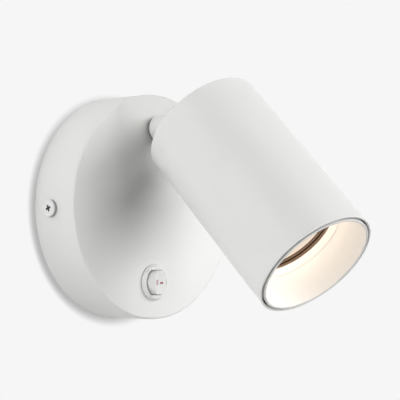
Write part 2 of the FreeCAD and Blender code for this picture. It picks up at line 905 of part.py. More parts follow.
def channel_outline(offset):
    """Outline in (y, z) of the quarter turn that the arm sweeps, grown by offset.

    It runs from the rear face to the underside, with its inner corner round the pivot.
    """
    reach = channel_reach + offset
    corner = channel_half_width + offset
    far = head_radius + overshoot
    return [(-far, -overshoot), (reach, -overshoot), (reach, reach, corner), (-far, reach)]


def make_rear_cap():
    """Cast cap: rear plate and skirt, with cheeks, floor and hinge bosses round the arm's channel."""
    outer = head_bore_radius - running_clearance
    inner = outer - cap_skirt_wall
    shell = turned([
        (0, 0),
        (outer - cap_edge_bevel, 0),
        (outer, cap_edge_bevel),
        (outer, cap_skirt_length),
        (inner, cap_skirt_length),
        (inner, cap_plate_thickness),
        (0, cap_plate_thickness),
    ])
    housing = prism_along_x(channel_outline(cap_floor_thickness), -cheek_face, cheek_face)
    housing = housing.common(rod(outer, cap_edge_bevel, cap_floor_front))
    channel = prism_along_x(channel_outline(0), -channel_half_width, channel_half_width)
    cap = shell.fuse(housing).cut(channel)
    bosses = []
    for side in (-1, 1):
        span = sorted((side * boss_face, side * cheek_face))
        bosses.append(cross_rod(cap_boss_diameter / 2, span[0], span[1], pivot_inset, pivot_inset))
    cap = cap.fuse(bosses).removeSplitter()
    cutters = [cross_rod(pivot_screw_diameter / 2 + hole_clearance, -cheek_face - overshoot,
                         cheek_face + overshoot, pivot_inset, pivot_inset)]
    for x in bracket_screw_offsets():
        cutters.append(rod(bracket_screw_diameter / 2 + thread_clearance,
                           cap_floor_front - bracket_screw_length, cap_floor_front + overshoot,
                           x, -bracket_screw_drop))
    for x in sleeve_offsets():
        cutters.append(rod(sleeve_diameter / 2 + hole_clearance, channel_reach - overshoot,
                           cap_floor_front + overshoot, x, -sleeve_drop))
    return cap.cut(cutters)


def make_pivot_screw():
    """Screw across the cheeks and the tongue."""
    length = 2 * cheek_face + pivot_nut_thickness
    screw = pan_screw(pivot_head_diameter, pivot_head_height, pivot_screw_diameter, length)
    return moved(spun(screw, Y_AXIS, -90), -cheek_face, pivot_inset, pivot_inset)


def make_pivot_nut():
    """Hexagon nut on the pivot screw, with a flat towards the rear plate."""
    nut = hexagon(pivot_nut_width, 0, pivot_nut_thickness)
    hole = rod(pivot_screw_diameter / 2 + thread_clearance, -overshoot, pivot_nut_thickness + overshoot)
    return moved(spun(nut.cut(hole), Y_AXIS, 90), cheek_face, pivot_inset, pivot_inset)


def make_friction_washers():
    """One washer on each side of the tongue."""
    inner_face = tongue_thickness / 2 + face_clearance / 2
    washers = []
    for side in (-1, 1):
        span = sorted((side * inner_face, side * (boss_face - face_clearance / 2)))
        washer = cross_rod(friction_washer_diameter / 2, span[0], span[1], pivot_inset, pivot_inset)
        hole = cross_rod(pivot_screw_diameter / 2 + hole_clearance, span[0] - overshoot,
                         span[1] + overshoot, pivot_inset, pivot_inset)
        washers.append(washer.cut(hole))
    return Part.makeCompound(washers)


# ---- lampholder ----

def bracket_screw_offsets():
    """Left and right screw of the bracket."""
    return (-bracket_screw_spacing / 2, bracket_screw_spacing / 2)


def holder_screw_heights():
    """Lower and upper screw of the lampholder."""
    return (-holder_screw_spacing / 2, holder_screw_spacing / 2)


def sleeve_offsets():
    """Left and right lead of the lampholder."""
    return (-sleeve_spacing / 2, sleeve_spacing / 2)


def make_holder_bracket():
    """Pressed bracket with stiffening flanges along its sides."""
    front = bracket_rear + bracket_thickness
    half_width = bracket_width / 2
    corners = [
        (-half_width, -bracket_bottom, bracket_corner_radius),
        (half_width, -bracket_bottom, bracket_corner_radius),
        (half_width, bracket_top, bracket_corner_radius),
        (-half_width, bracket_top, bracket_corner_radius),
    ]
    plate = prism_along_z(corners, bracket_rear, front)
    flange_heights = (-bracket_bottom + bracket_corner_radius, bracket_top - bracket_corner_radius)
    flanges = []
    for side in (-1, 1):
        span = sorted((side * half_width, side * (half_width - bracket_thickness)))
        flanges.append(block(span, flange_heights, (bracket_rear, front + bracket_flange_height)))
    bracket = plate.fuse(flanges).removeSplitter()
    holder_space = rod(holder_diameter / 2 + hole_clearance, front, front + holder_height)
    cutters = [holder_space]
    low = bracket_rear - overshoot
    high = front + overshoot
    for x in bracket_screw_offsets():
        cutters.append(rod(bracket_screw_diameter / 2 + hole_clearance, low, high, x, -bracket_screw_drop))
    for y in holder_screw_heights():
        cutters.append(rod(holder_screw_diameter / 2 + thread_clearance, low, high, 0, y))
    for x in sleeve_offsets():
        cutters.append(rod(sleeve_diameter / 2 + hole_clearance, low, high, x, -sleeve_drop))
    return bracket.cut(cutters)


def make_bracket_screws():
    """Two screws that hold the bracket to the cap's cheeks."""
    seat = bracket_rear + bracket_thickness
    screw = pan_screw(bracket_head_diameter, bracket_head_height, bracket_screw_diameter,
                      bracket_thickness + bracket_screw_length - face_clearance)
    return Part.makeCompound([moved(screw, x, -bracket_screw_drop, seat) for x in bracket_screw_offsets()])


def twist_slot(half_width, low, high):
    """Cutter for one pin: an arc from the locked place to where the pin enters."""
    middle = pin_spacing / 2
    ring = turned([
        (middle - half_width, low),
        (middle + half_width, low),
        (middle + half_width, high),
        (middle - half_width, high),
    ], lamp_twist)
    locked = rod(half_width, low, high, middle, 0)
    entry = spun(locked, Z_AXIS, lamp_twist)
    return ring.fuse([locked, entry])


def make_lampholder():
    """Ceramic lampholder with two arc-shaped slots for the lamp's pins."""
    radius = holder_diameter / 2
    body = turned([
        (0, holder_rear),
        (radius, holder_rear),
        (radius, holder_front - holder_edge_bevel),
        (radius - holder_edge_bevel, holder_front),
        (0, holder_front),
    ])
    neck_half = pin_neck_diameter / 2 + pin_slot_gap
    head_half = pin_head_diameter / 2 + pin_slot_gap
    lip_rear = holder_front - holder_lip_thickness
    cavity_rear = holder_front - holder_cavity_depth
    cutters = []
    for half_turn in (0, 180):
        narrow = twist_slot(neck_half, lip_rear - overshoot, holder_front + overshoot)
        wide = twist_slot(head_half, cavity_rear, lip_rear)
        entry = spun(rod(head_half, lip_rear - overshoot, holder_front + overshoot, pin_spacing / 2, 0),
                     Z_AXIS, lamp_twist)
        cutters.append(spun(narrow.fuse([wide, entry]), Z_AXIS, half_turn))
    for y in holder_screw_heights():
        cutters.append(rod(holder_screw_diameter / 2 + hole_clearance, holder_rear - overshoot,
                           holder_front + overshoot, 0, y))
        cutters.append(rod(holder_head_diameter / 2 + hole_clearance, holder_front - holder_head_depth,
                           holder_front + overshoot, 0, y))
    for x in sleeve_offsets():
        cutters.append(rod(sleeve_diameter / 2 + hole_clearance, holder_rear - overshoot,
                           holder_rear + sleeve_seat_depth, x, -sleeve_drop))
    return body.cut(cutters)


def make_holder_screws():
    """Two screws, sunk in the lampholder's front, that go into the bracket."""
    seat = holder_front - holder_head_depth
    screw = pan_screw(holder_head_diameter, holder_head_height, holder_screw_diameter, seat - bracket_rear)
    return Part.makeCompound([moved(screw, 0, y, seat) for y in holder_screw_heights()])


def make_holder_leads():
    """Sleeved leads from the lampholder's rear to the channel's floor."""
    sleeves = []
    for x in sleeve_offsets():
        sleeves.append(rod(sleeve_diameter / 2, channel_reach + hole_clearance,
                           holder_rear + sleeve_seat_depth - hole_clearance, x, -sleeve_drop))
    return Part.makeCompound(sleeves)


# ---- lamp ----

def make_lamp_body():
    """Lamp body: narrow base, and a flare with grooves round it."""
    base_radius = lamp_base_diameter / 2
    waist_radius = lamp_waist_diameter / 2
    rim_radius = lamp_diameter / 2 - lamp_rim_inset
    base_end = lamp_base_face + lamp_base_length
    shoulder = lamp_ring_rear - lamp_shoulder_length
    flare_length = shoulder - base_end
    slope = (rim_radius - waist_radius) / flare_length
    outline = [
        (0, lamp_base_face),
        (base_radius - lamp_base_edge_bevel, lamp_base_face),
        (base_radius, lamp_base_face + lamp_base_edge_bevel),
        (base_radius, base_end),
        (waist_radius, base_end),
    ]
    for index in range(1, lamp_groove_count + 1):
        place = flare_length * index / (lamp_groove_count + 1)
        groove_rear = base_end + place
        groove_front = groove_rear + lamp_groove_width
        edge_radius = waist_radius + slope * place
        groove_radius = edge_radius - lamp_groove_width
        outline += [
            (edge_radius, groove_rear),
            (groove_radius, groove_rear),
            (groove_radius, groove_front),
            (edge_radius + slope * lamp_groove_width, groove_front),
        ]
    outline += [
        (rim_radius, shoulder),
        (rim_radius, lamp_ring_rear - face_clearance),
        (0, lamp_ring_rear - face_clearance),
    ]
    return turned(outline)


def make_lamp_pins():
    """Two pins with wide ends that lock behind the lampholder's lips."""
    neck_radius = pin_neck_diameter / 2
    wide_radius = pin_head_diameter / 2
    end = lamp_base_face - pin_length
    pin = turned([
        (0, end),
        (wide_radius - pin_end_bevel, end),
        (wide_radius, end + pin_end_bevel),
        (wide_radius, end + pin_head_length),
        (neck_radius, end + pin_head_length),
        (neck_radius, lamp_base_face),
        (0, lamp_base_face),
    ])
    return Part.makeCompound([moved(pin, side * pin_spacing / 2) for side in (-1, 1)])


def make_lamp_ring():
    """Front ring of the lamp: a plain band, a groove, a lip and a narrow groove, then the lens."""
    outer = lamp_diameter / 2
    inner = lamp_ring_opening / 2
    groove = inner + lamp_ring_groove_depth
    lip = inner - lamp_ring_lip_height
    band_end = lamp_front - lamp_ring_band_width
    groove_end = band_end - lamp_ring_groove_width
    lip_end = groove_end - lamp_ring_lip_width
    lens_seat = lens_front - lamp_lens_thickness - face_clearance
    return turned([
        (0, lamp_ring_rear),
        (outer, lamp_ring_rear),
        (outer, lamp_front - lamp_ring_edge_bevel),
        (outer - lamp_ring_edge_bevel, lamp_front),
        (inner, lamp_front),
        (inner, band_end),
        (groove, band_end),
        (groove, groove_end),
        (lip, groove_end),
        (lip, lip_end),
        (inner, lip_end),
        (inner, lens_front),
        (lip, lens_front),
        (lip, lens_seat),
        (0, lens_seat),
    ])


def make_lamp_lens():
    """Glowing lens in the ring's recess."""
    radius = lamp_ring_opening / 2 - lamp_ring_lip_height - tight_clearance
    rear = lens_front - lamp_lens_thickness
    return turned([
        (0, rear),
        (radius, rear),
        (radius, lens_front - lamp_lens_edge_bevel),
        (radius - lamp_lens_edge_bevel, lens_front),
        (0, lens_front),
    ])


# ---- baffle ----

def make_baffle():
    """Conical baffle: narrow lip, short skirt in the tube, and a cone that narrows to its throat."""
    step_z = head_length - baffle_step_depth
    slope = (baffle_mouth_radius - baffle_throat_radius) / (baffle_front - baffle_throat)
    step_radius = baffle_throat_radius + slope * (step_z - baffle_throat)
    skirt_inner = baffle_radius - baffle_wall
    join_z = baffle_throat + (skirt_inner - baffle_wall - baffle_throat_radius) / slope
    return turned([
        (baffle_mouth_radius + baffle_lip_edge_bevel, baffle_front),
        (baffle_mouth_radius, baffle_front - baffle_lip_edge_bevel),
        (step_radius + baffle_step, step_z),
        (step_radius, step_z),
        (baffle_throat_radius, baffle_throat),
        (baffle_throat_radius + baffle_wall, baffle_throat),
        (skirt_inner, join_z),
        (skirt_inner, baffle_skirt_rear),
        (baffle_radius, baffle_skirt_rear),
        (baffle_radius, baffle_front - baffle_lip_edge_bevel),
        (baffle_radius - baffle_lip_edge_bevel, baffle_front),
    ])


def make_baffle_clips():
    """Leaf springs inside the skirt, with crests that press on the tube's bore."""
    root_outer = baffle_radius - baffle_wall - tight_clearance
    root_inner = root_outer - clip_thickness
    crest = head_bore_radius - running_clearance
    crest_z = baffle_skirt_rear - clip_crest_distance
    tail_z = baffle_skirt_rear - clip_tail_distance
    leaf = turned([
        (root_inner, baffle_skirt_rear + clip_overlap),
        (root_outer, baffle_skirt_rear + clip_overlap),
        (root_outer, baffle_skirt_rear - tight_clearance),
        (crest, crest_z, clip_crest_radius),
        (crest - clip_tail_drop, tail_z),
        (crest - clip_tail_drop - clip_thickness, tail_z),
        (crest - clip_thickness, crest_z, clip_crest_radius - clip_thickness),
        (root_inner, baffle_skirt_rear - clip_thickness),
    ], clip_angle)
    leaf = spun(leaf, Z_AXIS, 90 - clip_angle / 2)
    turns = [index * 360 / clip_count for index in range(clip_count)]
    return Part.makeCompound([spun(leaf, Z_AXIS, turn) for turn in turns])


WALL_PIECES = {
    "wall_plate": make_wall_plate,
    "canopy": make_canopy,
    "canopy_screws": make_canopy_screws,
    "cable_bush": make_cable_bush,
    "terminal_block": make_terminal_block,
    "clamp_screws": make_clamp_screws,
    "block_screws": make_block_screws,
    "earth_screw": make_earth_screw,
    "earth_washer": make_earth_washer,
    "switch_housing": make_switch_housing,
    "switch_rocker": make_rocker,
    "switch_blades": make_switch_blades,
    "live_lead": make_live_lead,
    "neutral_lead": make_neutral_lead,
    "switched_lead": make_switched_lead,
    "arm": make_arm,
    "face_washer": make_face_washer,
    "stop_washer": make_stop_washer,
    "stop_stud": make_stop_stud,
    "wave_washer": make_wave_washer,
    "lock_nut": make_lock_nut,
    "arm_leads": make_arm_leads,
}

HEAD_PIECES = {
    "head_tube": make_head_tube,
    "rear_cap": make_rear_cap,
    "pivot_screw": make_pivot_screw,
    "pivot_nut": make_pivot_nut,
    "friction_washers": make_friction_washers,
    "holder_bracket": make_holder_bracket,
    "bracket_screws": make_bracket_screws,
    "lampholder": make_lampholder,
    "holder_screws": make_holder_screws,
    "holder_leads": make_holder_leads,
    "lamp_body": make_lamp_body,
    "lamp_pins": make_lamp_pins,
    "lamp_ring": make_lamp_ring,
    "lamp_lens": make_lamp_lens,
    "baffle": make_baffle,
    "baffle_clips": make_baffle_clips,
}

os.makedirs("parts", exist_ok=True)
for name, make in WALL_PIECES.items():
    save(name, on_wall(make()))
for name, make in HEAD_PIECES.items():
    save(name, on_head(make()))
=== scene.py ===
"""Pivoting spotlight wall light: the looks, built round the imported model.

Everything is in metres in the object's frame: the wall is at y = 0, +Z is up, -Y is the room.
"""

import math

import bmesh
import bpy
from mathutils import Matrix, Vector


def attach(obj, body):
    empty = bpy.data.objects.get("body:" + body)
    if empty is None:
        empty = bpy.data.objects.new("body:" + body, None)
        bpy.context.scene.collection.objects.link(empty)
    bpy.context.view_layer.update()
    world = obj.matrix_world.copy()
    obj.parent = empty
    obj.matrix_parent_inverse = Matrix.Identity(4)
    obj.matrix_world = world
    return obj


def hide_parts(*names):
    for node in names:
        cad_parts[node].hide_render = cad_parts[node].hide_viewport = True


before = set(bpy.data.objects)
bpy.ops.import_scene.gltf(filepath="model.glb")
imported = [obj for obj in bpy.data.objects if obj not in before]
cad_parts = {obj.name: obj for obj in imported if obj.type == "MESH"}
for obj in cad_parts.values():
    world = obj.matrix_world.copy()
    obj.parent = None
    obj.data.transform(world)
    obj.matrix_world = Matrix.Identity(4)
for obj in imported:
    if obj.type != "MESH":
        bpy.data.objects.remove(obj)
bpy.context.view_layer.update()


# ---- wall plate ----
# Strip steel pressed to a plate with a bent tab at each end, electro zinc plated and clear
# passivated. Two screws through its slots hold it to the wall, and the canopy hangs on its tabs.

def linear(hex_code):
    """sRGB hex to a linear colour."""
    channels = [int(hex_code[i:i + 2], 16) / 255 for i in (1, 3, 5)]
    return [c / 12.92 if c <= 0.04045 else ((c + 0.055) / 1.055) ** 2.4 for c in channels] + [1.0]


def new_material(name):
    """A material with nothing in it but its output."""
    made = bpy.data.materials.new(name)
    made.use_nodes = True
    made.node_tree.nodes.clear()
    return made


def node(owner, kind, inputs=None, **settings):
    """Add a shader node to a material or world. Inputs given as sockets are linked, others are set."""
    made = owner.node_tree.nodes.new(kind)
    for name, value in settings.items():
        setattr(made, name, value)
    for name, value in (inputs or {}).items():
        if isinstance(value, bpy.types.NodeSocket):
            owner.node_tree.links.new(value, made.inputs[name])
        else:
            made.inputs[name].default_value = value
    return made


def dress(names, material):
    """Give CAD nodes or new pieces a material."""
    for name in names:
        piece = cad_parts.get(name) or bpy.data.objects[name]
        piece.data.materials.clear()
        piece.data.materials.append(material)


# Bright zinc: a grey metal with soft lines from the strip's rolling, and a passivation film that
# turns it faintly blue in some patches and straw in others. A line is 0.25 mm wide and about 30
# times as long, and a patch is 9 mm.
ZINC_BLUE = "#C6CBD0"
ZINC_STRAW = "#CFCCC2"
ROLLING_LINE = 0.00025
LINE_STRETCH = 0.03
PASSIVE_PATCH = 0.009

bright_zinc = new_material("bright_zinc_plate")
place = node(bright_zinc, "ShaderNodeTexCoord").outputs["Object"]
patches = node(bright_zinc, "ShaderNodeTexNoise", {
    "Vector": place, "Scale": 1 / PASSIVE_PATCH, "Detail": 2.0})
film = node(bright_zinc, "ShaderNodeMix", {
    "Factor": patches.outputs["Fac"], "A": linear(ZINC_BLUE), "B": linear(ZINC_STRAW)}, data_type="RGBA")
along_strip = node(bright_zinc, "ShaderNodeMapping", {"Vector": place, "Scale": (LINE_STRETCH, 1, 1)})
lines = node(bright_zinc, "ShaderNodeTexNoise", {
    "Vector": along_strip.outputs["Vector"], "Scale": 1 / ROLLING_LINE, "Detail": 2.0})
zinc_rough = node(bright_zinc, "ShaderNodeMapRange", {
    "Value": lines.outputs["Fac"], "To Min": 0.28, "To Max": 0.46})
line_bump = node(bright_zinc, "ShaderNodeBump", {
    "Height": lines.outputs["Fac"], "Strength": 0.2, "Distance": 0.00003})
zinc = node(bright_zinc, "ShaderNodeBsdfPrincipled", {
    "Base Color": film.outputs["Result"], "Metallic": 1.0, "Roughness": zinc_rough.outputs["Result"],
    "Normal": line_bump.outputs["Normal"]})
node(bright_zinc, "ShaderNodeOutputMaterial", {"Surface": zinc.outputs["BSDF"]})
dress(["wall_plate"], bright_zinc)


# ---- cable bush ----
# Black rubber grommet, moulded and snapped into the plate's cable hole. It is matt, with the faint
# bloom that such rubber gets.

RUBBER_BLACK = "#242425"
RUBBER_BLOOM = "#37373A"
BLOOM_PATCH = 0.0025

bush_rubber = new_material("black_moulded_rubber")
place = node(bush_rubber, "ShaderNodeTexCoord").outputs["Object"]
bloom = node(bush_rubber, "ShaderNodeTexNoise", {"Vector": place, "Scale": 1 / BLOOM_PATCH, "Detail": 4.0})
rubber_colour = node(bush_rubber, "ShaderNodeMix", {
    "Factor": bloom.outputs["Fac"], "A": linear(RUBBER_BLACK), "B": linear(RUBBER_BLOOM)}, data_type="RGBA")
rubber_bump = node(bush_rubber, "ShaderNodeBump", {
    "Height": bloom.outputs["Fac"], "Strength": 0.2, "Distance": 0.0001})
rubber = node(bush_rubber, "ShaderNodeBsdfPrincipled", {
    "Base Color": rubber_colour.outputs["Result"], "Roughness": 0.7, "IOR": 1.52,
    "Normal": rubber_bump.outputs["Normal"]})
node(bush_rubber, "ShaderNodeOutputMaterial", {"Surface": rubber.outputs["BSDF"]})
dress(["cable_bush"], bush_rubber)


# ---- terminal block and earth terminal ----
# Three-pole strip of moulded natural nylon with brass clamp screws down its towers, held to the
# plate by two zinc-plated screws. The earth terminal is a brass pan-head screw with a cup washer.

# Natural nylon: cream white, satin and slightly milky, as light goes a little way into it.
NYLON_PALE = "#F0EEE6"
NYLON_CREAM = "#E8E4D6"
NYLON_FLOW = 0.003

natural_nylon = new_material("natural_moulded_nylon")
place = node(natural_nylon, "ShaderNodeTexCoord").outputs["Object"]
flow = node(natural_nylon, "ShaderNodeTexNoise", {"Vector": place, "Scale": 1 / NYLON_FLOW, "Detail": 3.0})
nylon_colour = node(natural_nylon, "ShaderNodeMix", {
    "Factor": flow.outputs["Fac"], "A": linear(NYLON_PALE), "B": linear(NYLON_CREAM)}, data_type="RGBA")
nylon_bump = node(natural_nylon, "ShaderNodeBump", {
    "Height": flow.outputs["Fac"], "Strength": 0.15, "Distance": 0.0001})
nylon = node(natural_nylon, "ShaderNodeBsdfPrincipled", {
    "Base Color": nylon_colour.outputs["Result"], "Roughness": 0.42, "IOR": 1.53,
    "Subsurface Weight": 0.15, "Subsurface Radius": (0.0006, 0.0005, 0.0004), "Subsurface Scale": 1.0,
    "Normal": nylon_bump.outputs["Normal"]})
node(natural_nylon, "ShaderNodeOutputMaterial", {"Surface": nylon.outputs["BSDF"]})
dress(["terminal_block"], natural_nylon)

# Turned brass: yellow metal, a little darker where it has tarnished, in patches of about 1.5 mm.
BRASS_BRIGHT = "#D3B06A"
BRASS_TARNISH = "#B08A4A"
TARNISH_PATCH = 0.0015

turned_brass = new_material("turned_brass")
place = node(turned_brass, "ShaderNodeTexCoord").outputs["Object"]
tarnish = node(turned_brass, "ShaderNodeTexNoise", {
    "Vector": place, "Scale": 1 / TARNISH_PATCH, "Detail": 3.0})
brass_colour = node(turned_brass, "ShaderNodeMix", {
    "Factor": tarnish.outputs["Fac"], "A": linear(BRASS_BRIGHT), "B": linear(BRASS_TARNISH)},
    data_type="RGBA")
brass_rough = node(turned_brass, "ShaderNodeMapRange", {
    "Value": tarnish.outputs["Fac"], "To Min": 0.22, "To Max": 0.42})
brass = node(turned_brass, "ShaderNodeBsdfPrincipled", {
    "Base Color": brass_colour.outputs["Result"], "Metallic": 1.0,
    "Roughness": brass_rough.outputs["Result"]})
node(turned_brass, "ShaderNodeOutputMaterial", {"Surface": brass.outputs["BSDF"]})
dress(["clamp_screws", "earth_washer"], turned_brass)
dress(["block_screws"], bright_zinc)


def select_faces(piece, wanted):
    """In edit mode, select the faces for which wanted(face) is true."""
    shape = bmesh.from_edit_mesh(piece.data)
    shape.select_mode = {"FACE"}
    for face in shape.faces:
        face.select_set(bool(wanted(face)))
    shape.select_flush_mode()
    bmesh.update_edit_mesh(piece.data)


def cross_recess_screw(name, head_radius, head_height, shank_radius, shank_length, pitch, wing_span):
    """Pan-head screw along +Z, its head's seat at z = 0, with a cross recess in its crown."""
    facing = 0.9
    crown_round = 0.4 * head_height
    thread_root = 0.86
    turns = int(shank_length / pitch)
    wing_width = wing_span / 4
    wing_depth = 0.75 * head_height
    wing_foot = (0.3, 0.7, 1)

    bpy.ops.object.select_all(action="DESELECT")
    bpy.ops.mesh.primitive_cylinder_add(
        vertices=64, radius=head_radius, depth=head_height, location=(0, 0, head_height / 2))
    screw = bpy.context.object
    screw.name = name
    bpy.ops.object.transform_apply(location=True)
    bpy.ops.object.mode_set(mode="EDIT")
    bpy.ops.mesh.select_mode(type="FACE")
    select_faces(screw, lambda face: face.normal.z > facing)
    bpy.ops.mesh.bevel(offset=crown_round, segments=6, affect="EDGES")
    select_faces(screw, lambda face: face.normal.z < -facing)
    bpy.ops.mesh.inset(thickness=head_radius - shank_radius)
    for turn in range(turns):
        bpy.ops.mesh.extrude_region_move(TRANSFORM_OT_translate={"value": (0, 0, -pitch / 2)})
        bpy.ops.transform.resize(value=(thread_root, thread_root, 1))
        bpy.ops.mesh.extrude_region_move(TRANSFORM_OT_translate={"value": (0, 0, -pitch / 2)})
        if turn < turns - 1:
            bpy.ops.transform.resize(value=(1 / thread_root, 1 / thread_root, 1))
    bpy.ops.object.mode_set(mode="OBJECT")

    bpy.ops.mesh.primitive_cube_add(
        size=1, location=(0, 0, head_height), scale=(wing_span, wing_width, 2 * wing_depth))
    wing = bpy.context.object
    bpy.ops.object.transform_apply(location=True, scale=True)
    bpy.ops.object.mode_set(mode="EDIT")
    select_faces(wing, lambda face: face.normal.z < -facing)
    bpy.ops.transform.resize(value=wing_foot)
    bpy.ops.object.mode_set(mode="OBJECT")
    for _ in range(2):
        wing.data.transform(Matrix.Rotation(math.pi / 2, 4, "Z"))
        cut = screw.modifiers.new("wing", "BOOLEAN")
        cut.object = wing
        cut.solver = "EXACT"
        bpy.context.view_layer.objects.active = screw
        bpy.ops.object.modifier_apply(modifier=cut.name)
    bpy.data.objects.remove(wing)
    bpy.ops.object.select_all(action="DESELECT")
    screw.select_set(True)
    bpy.ops.object.shade_smooth_by_angle(angle=math.radians(35))
    return screw


# M4 earth screw: its head lies on the washer, and its thread ends in the plate.
M4_RADIUS = 0.002
M4_PITCH = 0.0007
EARTH_PLACE = (-0.022, -0.0024, -0.008)
EARTH_HEAD_RADIUS = 0.0038
EARTH_HEAD_HEIGHT = 0.0024
EARTH_SHANK_LENGTH = 0.0022
EARTH_RECESS_SPAN = 0.0042

earth_screw = cross_recess_screw(
    "earth_terminal_screw", EARTH_HEAD_RADIUS, EARTH_HEAD_HEIGHT, M4_RADIUS, EARTH_SHANK_LENGTH,
    M4_PITCH, EARTH_RECESS_SPAN)
earth_screw.data.transform(Matrix.Translation(EARTH_PLACE) @ Matrix.Rotation(math.pi / 2, 4, "X"))
dress(["earth_terminal_screw"], turned_brass)
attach(earth_screw, "wall_unit")
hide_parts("earth_screw")


# ---- leads in the canopy ----
# Silicone-insulated copper: brown from the live clamp to the switch and on to the arm, blue from
# the neutral clamp to the arm. Silicone is matt, with a skin that picks up a little dust.

SKIN_PATCH = 0.0012

for wire, clean, dusty, leads in (
        ("brown", "#5A3420", "#6B4630", ["live_lead", "switched_lead"]),
        ("blue", "#1F4F9C", "#3A66AA", ["neutral_lead"])):
    silicone = new_material(wire + "_silicone_insulation")
    place = node(silicone, "ShaderNodeTexCoord").outputs["Object"]
    skin = node(silicone, "ShaderNodeTexNoise", {"Vector": place, "Scale": 1 / SKIN_PATCH, "Detail": 3.0})
    wire_colour = node(silicone, "ShaderNodeMix", {
        "Factor": skin.outputs["Fac"], "A": linear(clean), "B": linear(dusty)}, data_type="RGBA")
    insulation = node(silicone, "ShaderNodeBsdfPrincipled", {
        "Base Color": wire_colour.outputs["Result"], "Roughness": 0.55, "IOR": 1.41})
    node(silicone, "ShaderNodeOutputMaterial", {"Surface": insulation.outputs["BSDF"]})
    dress(leads, silicone)


# ---- canopy and its side screws ----
# Steel spun to a shallow pan and sprayed with white powder coat, as the arm, tube and cap are.
# Two pan-head screws with cross recesses, painted to match, hold it to the plate's tabs.

# Powder coat: satin, with a sandy grain that is drawn at 0.6 mm, about twice as coarse as it is,
# over a very shallow orange peel of 4 mm.
COAT_WHITE = "#ECECEA"
COAT_WHITE_LOW = "#E7E7E5"
COAT_GRAIN = 0.0006
COAT_PEEL = 0.004

powder_coat = new_material("white_powder_coat")
place = node(powder_coat, "ShaderNodeTexCoord").outputs["Object"]
grain = node(powder_coat, "ShaderNodeTexNoise", {"Vector": place, "Scale": 1 / COAT_GRAIN, "Detail": 2.0})
peel = node(powder_coat, "ShaderNodeTexNoise", {"Vector": place, "Scale": 1 / COAT_PEEL, "Detail": 1.0})
coat_colour = node(powder_coat, "ShaderNodeMix", {
    "Factor": grain.outputs["Fac"], "A": linear(COAT_WHITE_LOW), "B": linear(COAT_WHITE)}, data_type="RGBA")
peel_bump = node(powder_coat, "ShaderNodeBump", {
    "Height": peel.outputs["Fac"], "Strength": 0.05, "Distance": 0.0004})
grain_bump = node(powder_coat, "ShaderNodeBump", {
    "Height": grain.outputs["Fac"], "Strength": 0.25, "Distance": 0.00008,
    "Normal": peel_bump.outputs["Normal"]})
coat = node(powder_coat, "ShaderNodeBsdfPrincipled", {
    "Base Color": coat_colour.outputs["Result"], "Roughness": 0.5, "IOR": 1.5,
    "Normal": grain_bump.outputs["Normal"]})
node(powder_coat, "ShaderNodeOutputMaterial", {"Surface": coat.outputs["BSDF"]})
dress(["canopy"], powder_coat)

# The coat covers the tops of the heads. The recesses are painted dark grey as painted shade,
# and the rims a paler grey as painted shade on the heads' sides. Both are blotched in patches of 0.8 mm.
SCREW_SHADE_PATCH = 0.0008

screw_shade_finishes = []
for screw_shade_name, blotch_dark, blotch_pale in (
        ("screw_recess_painted_shade", "#68696D", "#828387"), ("screw_rim_painted_shade", "#A3A4A6", "#B5B6B8")):
    screw_shade_finish = new_material(screw_shade_name)
    place = node(screw_shade_finish, "ShaderNodeTexCoord").outputs["Object"]
    blotches = node(screw_shade_finish, "ShaderNodeTexNoise", {
        "Vector": place, "Scale": 1 / SCREW_SHADE_PATCH, "Detail": 2.0})
    screw_shade_colour = node(screw_shade_finish, "ShaderNodeMix", {
        "Factor": blotches.outputs["Fac"], "A": linear(blotch_dark), "B": linear(blotch_pale)},
        data_type="RGBA")
    screw_shade_surface = node(screw_shade_finish, "ShaderNodeBsdfPrincipled", {
        "Base Color": screw_shade_colour.outputs["Result"], "Metallic": 0.3, "Roughness": 0.55})
    node(screw_shade_finish, "ShaderNodeOutputMaterial", {"Surface": screw_shade_surface.outputs["BSDF"]})
    screw_shade_finishes.append(screw_shade_finish)

# Each head's seat is 55 mm from the canopy's axis, on its rim, 11 mm out from the wall and 1.7 mm
# below the axis. A face under the head's top is recess where it lies within the recess's span, and
# rim where it lies at the head's full radius.
SIDE_SCREW_SEAT = 0.055
SIDE_SCREW_OUT = 0.011
SIDE_SCREW_DROP = 0.0017
SIDE_HEAD_RADIUS = 0.0042
SIDE_HEAD_HEIGHT = 0.0018
SIDE_SHANK_LENGTH = 0.0076
SIDE_RECESS_SPAN = 0.0050
SIDE_RECESS_TURN = math.radians(20)
RECESS_MARGIN = 0.0001
NEARLY_FULL = 0.98

for side_name, side in (("left", -1), ("right", 1)):
    side_screw = cross_recess_screw(
        side_name + "_canopy_screw", SIDE_HEAD_RADIUS, SIDE_HEAD_HEIGHT, M4_RADIUS, SIDE_SHANK_LENGTH,
        M4_PITCH, SIDE_RECESS_SPAN)
    dress([side_screw.name], powder_coat)
    for screw_shade_finish in screw_shade_finishes:
        side_screw.data.materials.append(screw_shade_finish)
    # Recess faces take the darker painted shade, and rim faces the paler painted shade.
    for face in side_screw.data.polygons:
        from_axis = face.center.xy.length
        if 0 < face.center.z < NEARLY_FULL * SIDE_HEAD_HEIGHT:
            if from_axis < SIDE_RECESS_SPAN / 2 + RECESS_MARGIN:
                face.material_index = 1
            elif from_axis > NEARLY_FULL * SIDE_HEAD_RADIUS:
                face.material_index = 2
    side_screw.data.transform(
        Matrix.Translation((side * SIDE_SCREW_SEAT, -SIDE_SCREW_OUT, -SIDE_SCREW_DROP))
        @ Matrix.Rotation(side * math.pi / 2, 4, "Y") @ Matrix.Rotation(SIDE_RECESS_TURN, 4, "Z"))
    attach(side_screw, "wall_unit")
    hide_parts("canopy_screws")


# ---- switch ----
# Round rocker switch, moulded in white nylon and snapped into the canopy's face. Its rocker is
# pressed in on its right half. The off ring and the on dash are printed in red on its slopes.

# Satin nylon: a cool white with a fine spark-eroded texture from its mould.
SWITCH_WHITE = "#EEEEEC"
SWITCH_WHITE_LOW = "#E8E8E6"
SPARK_GRAIN = 0.0003

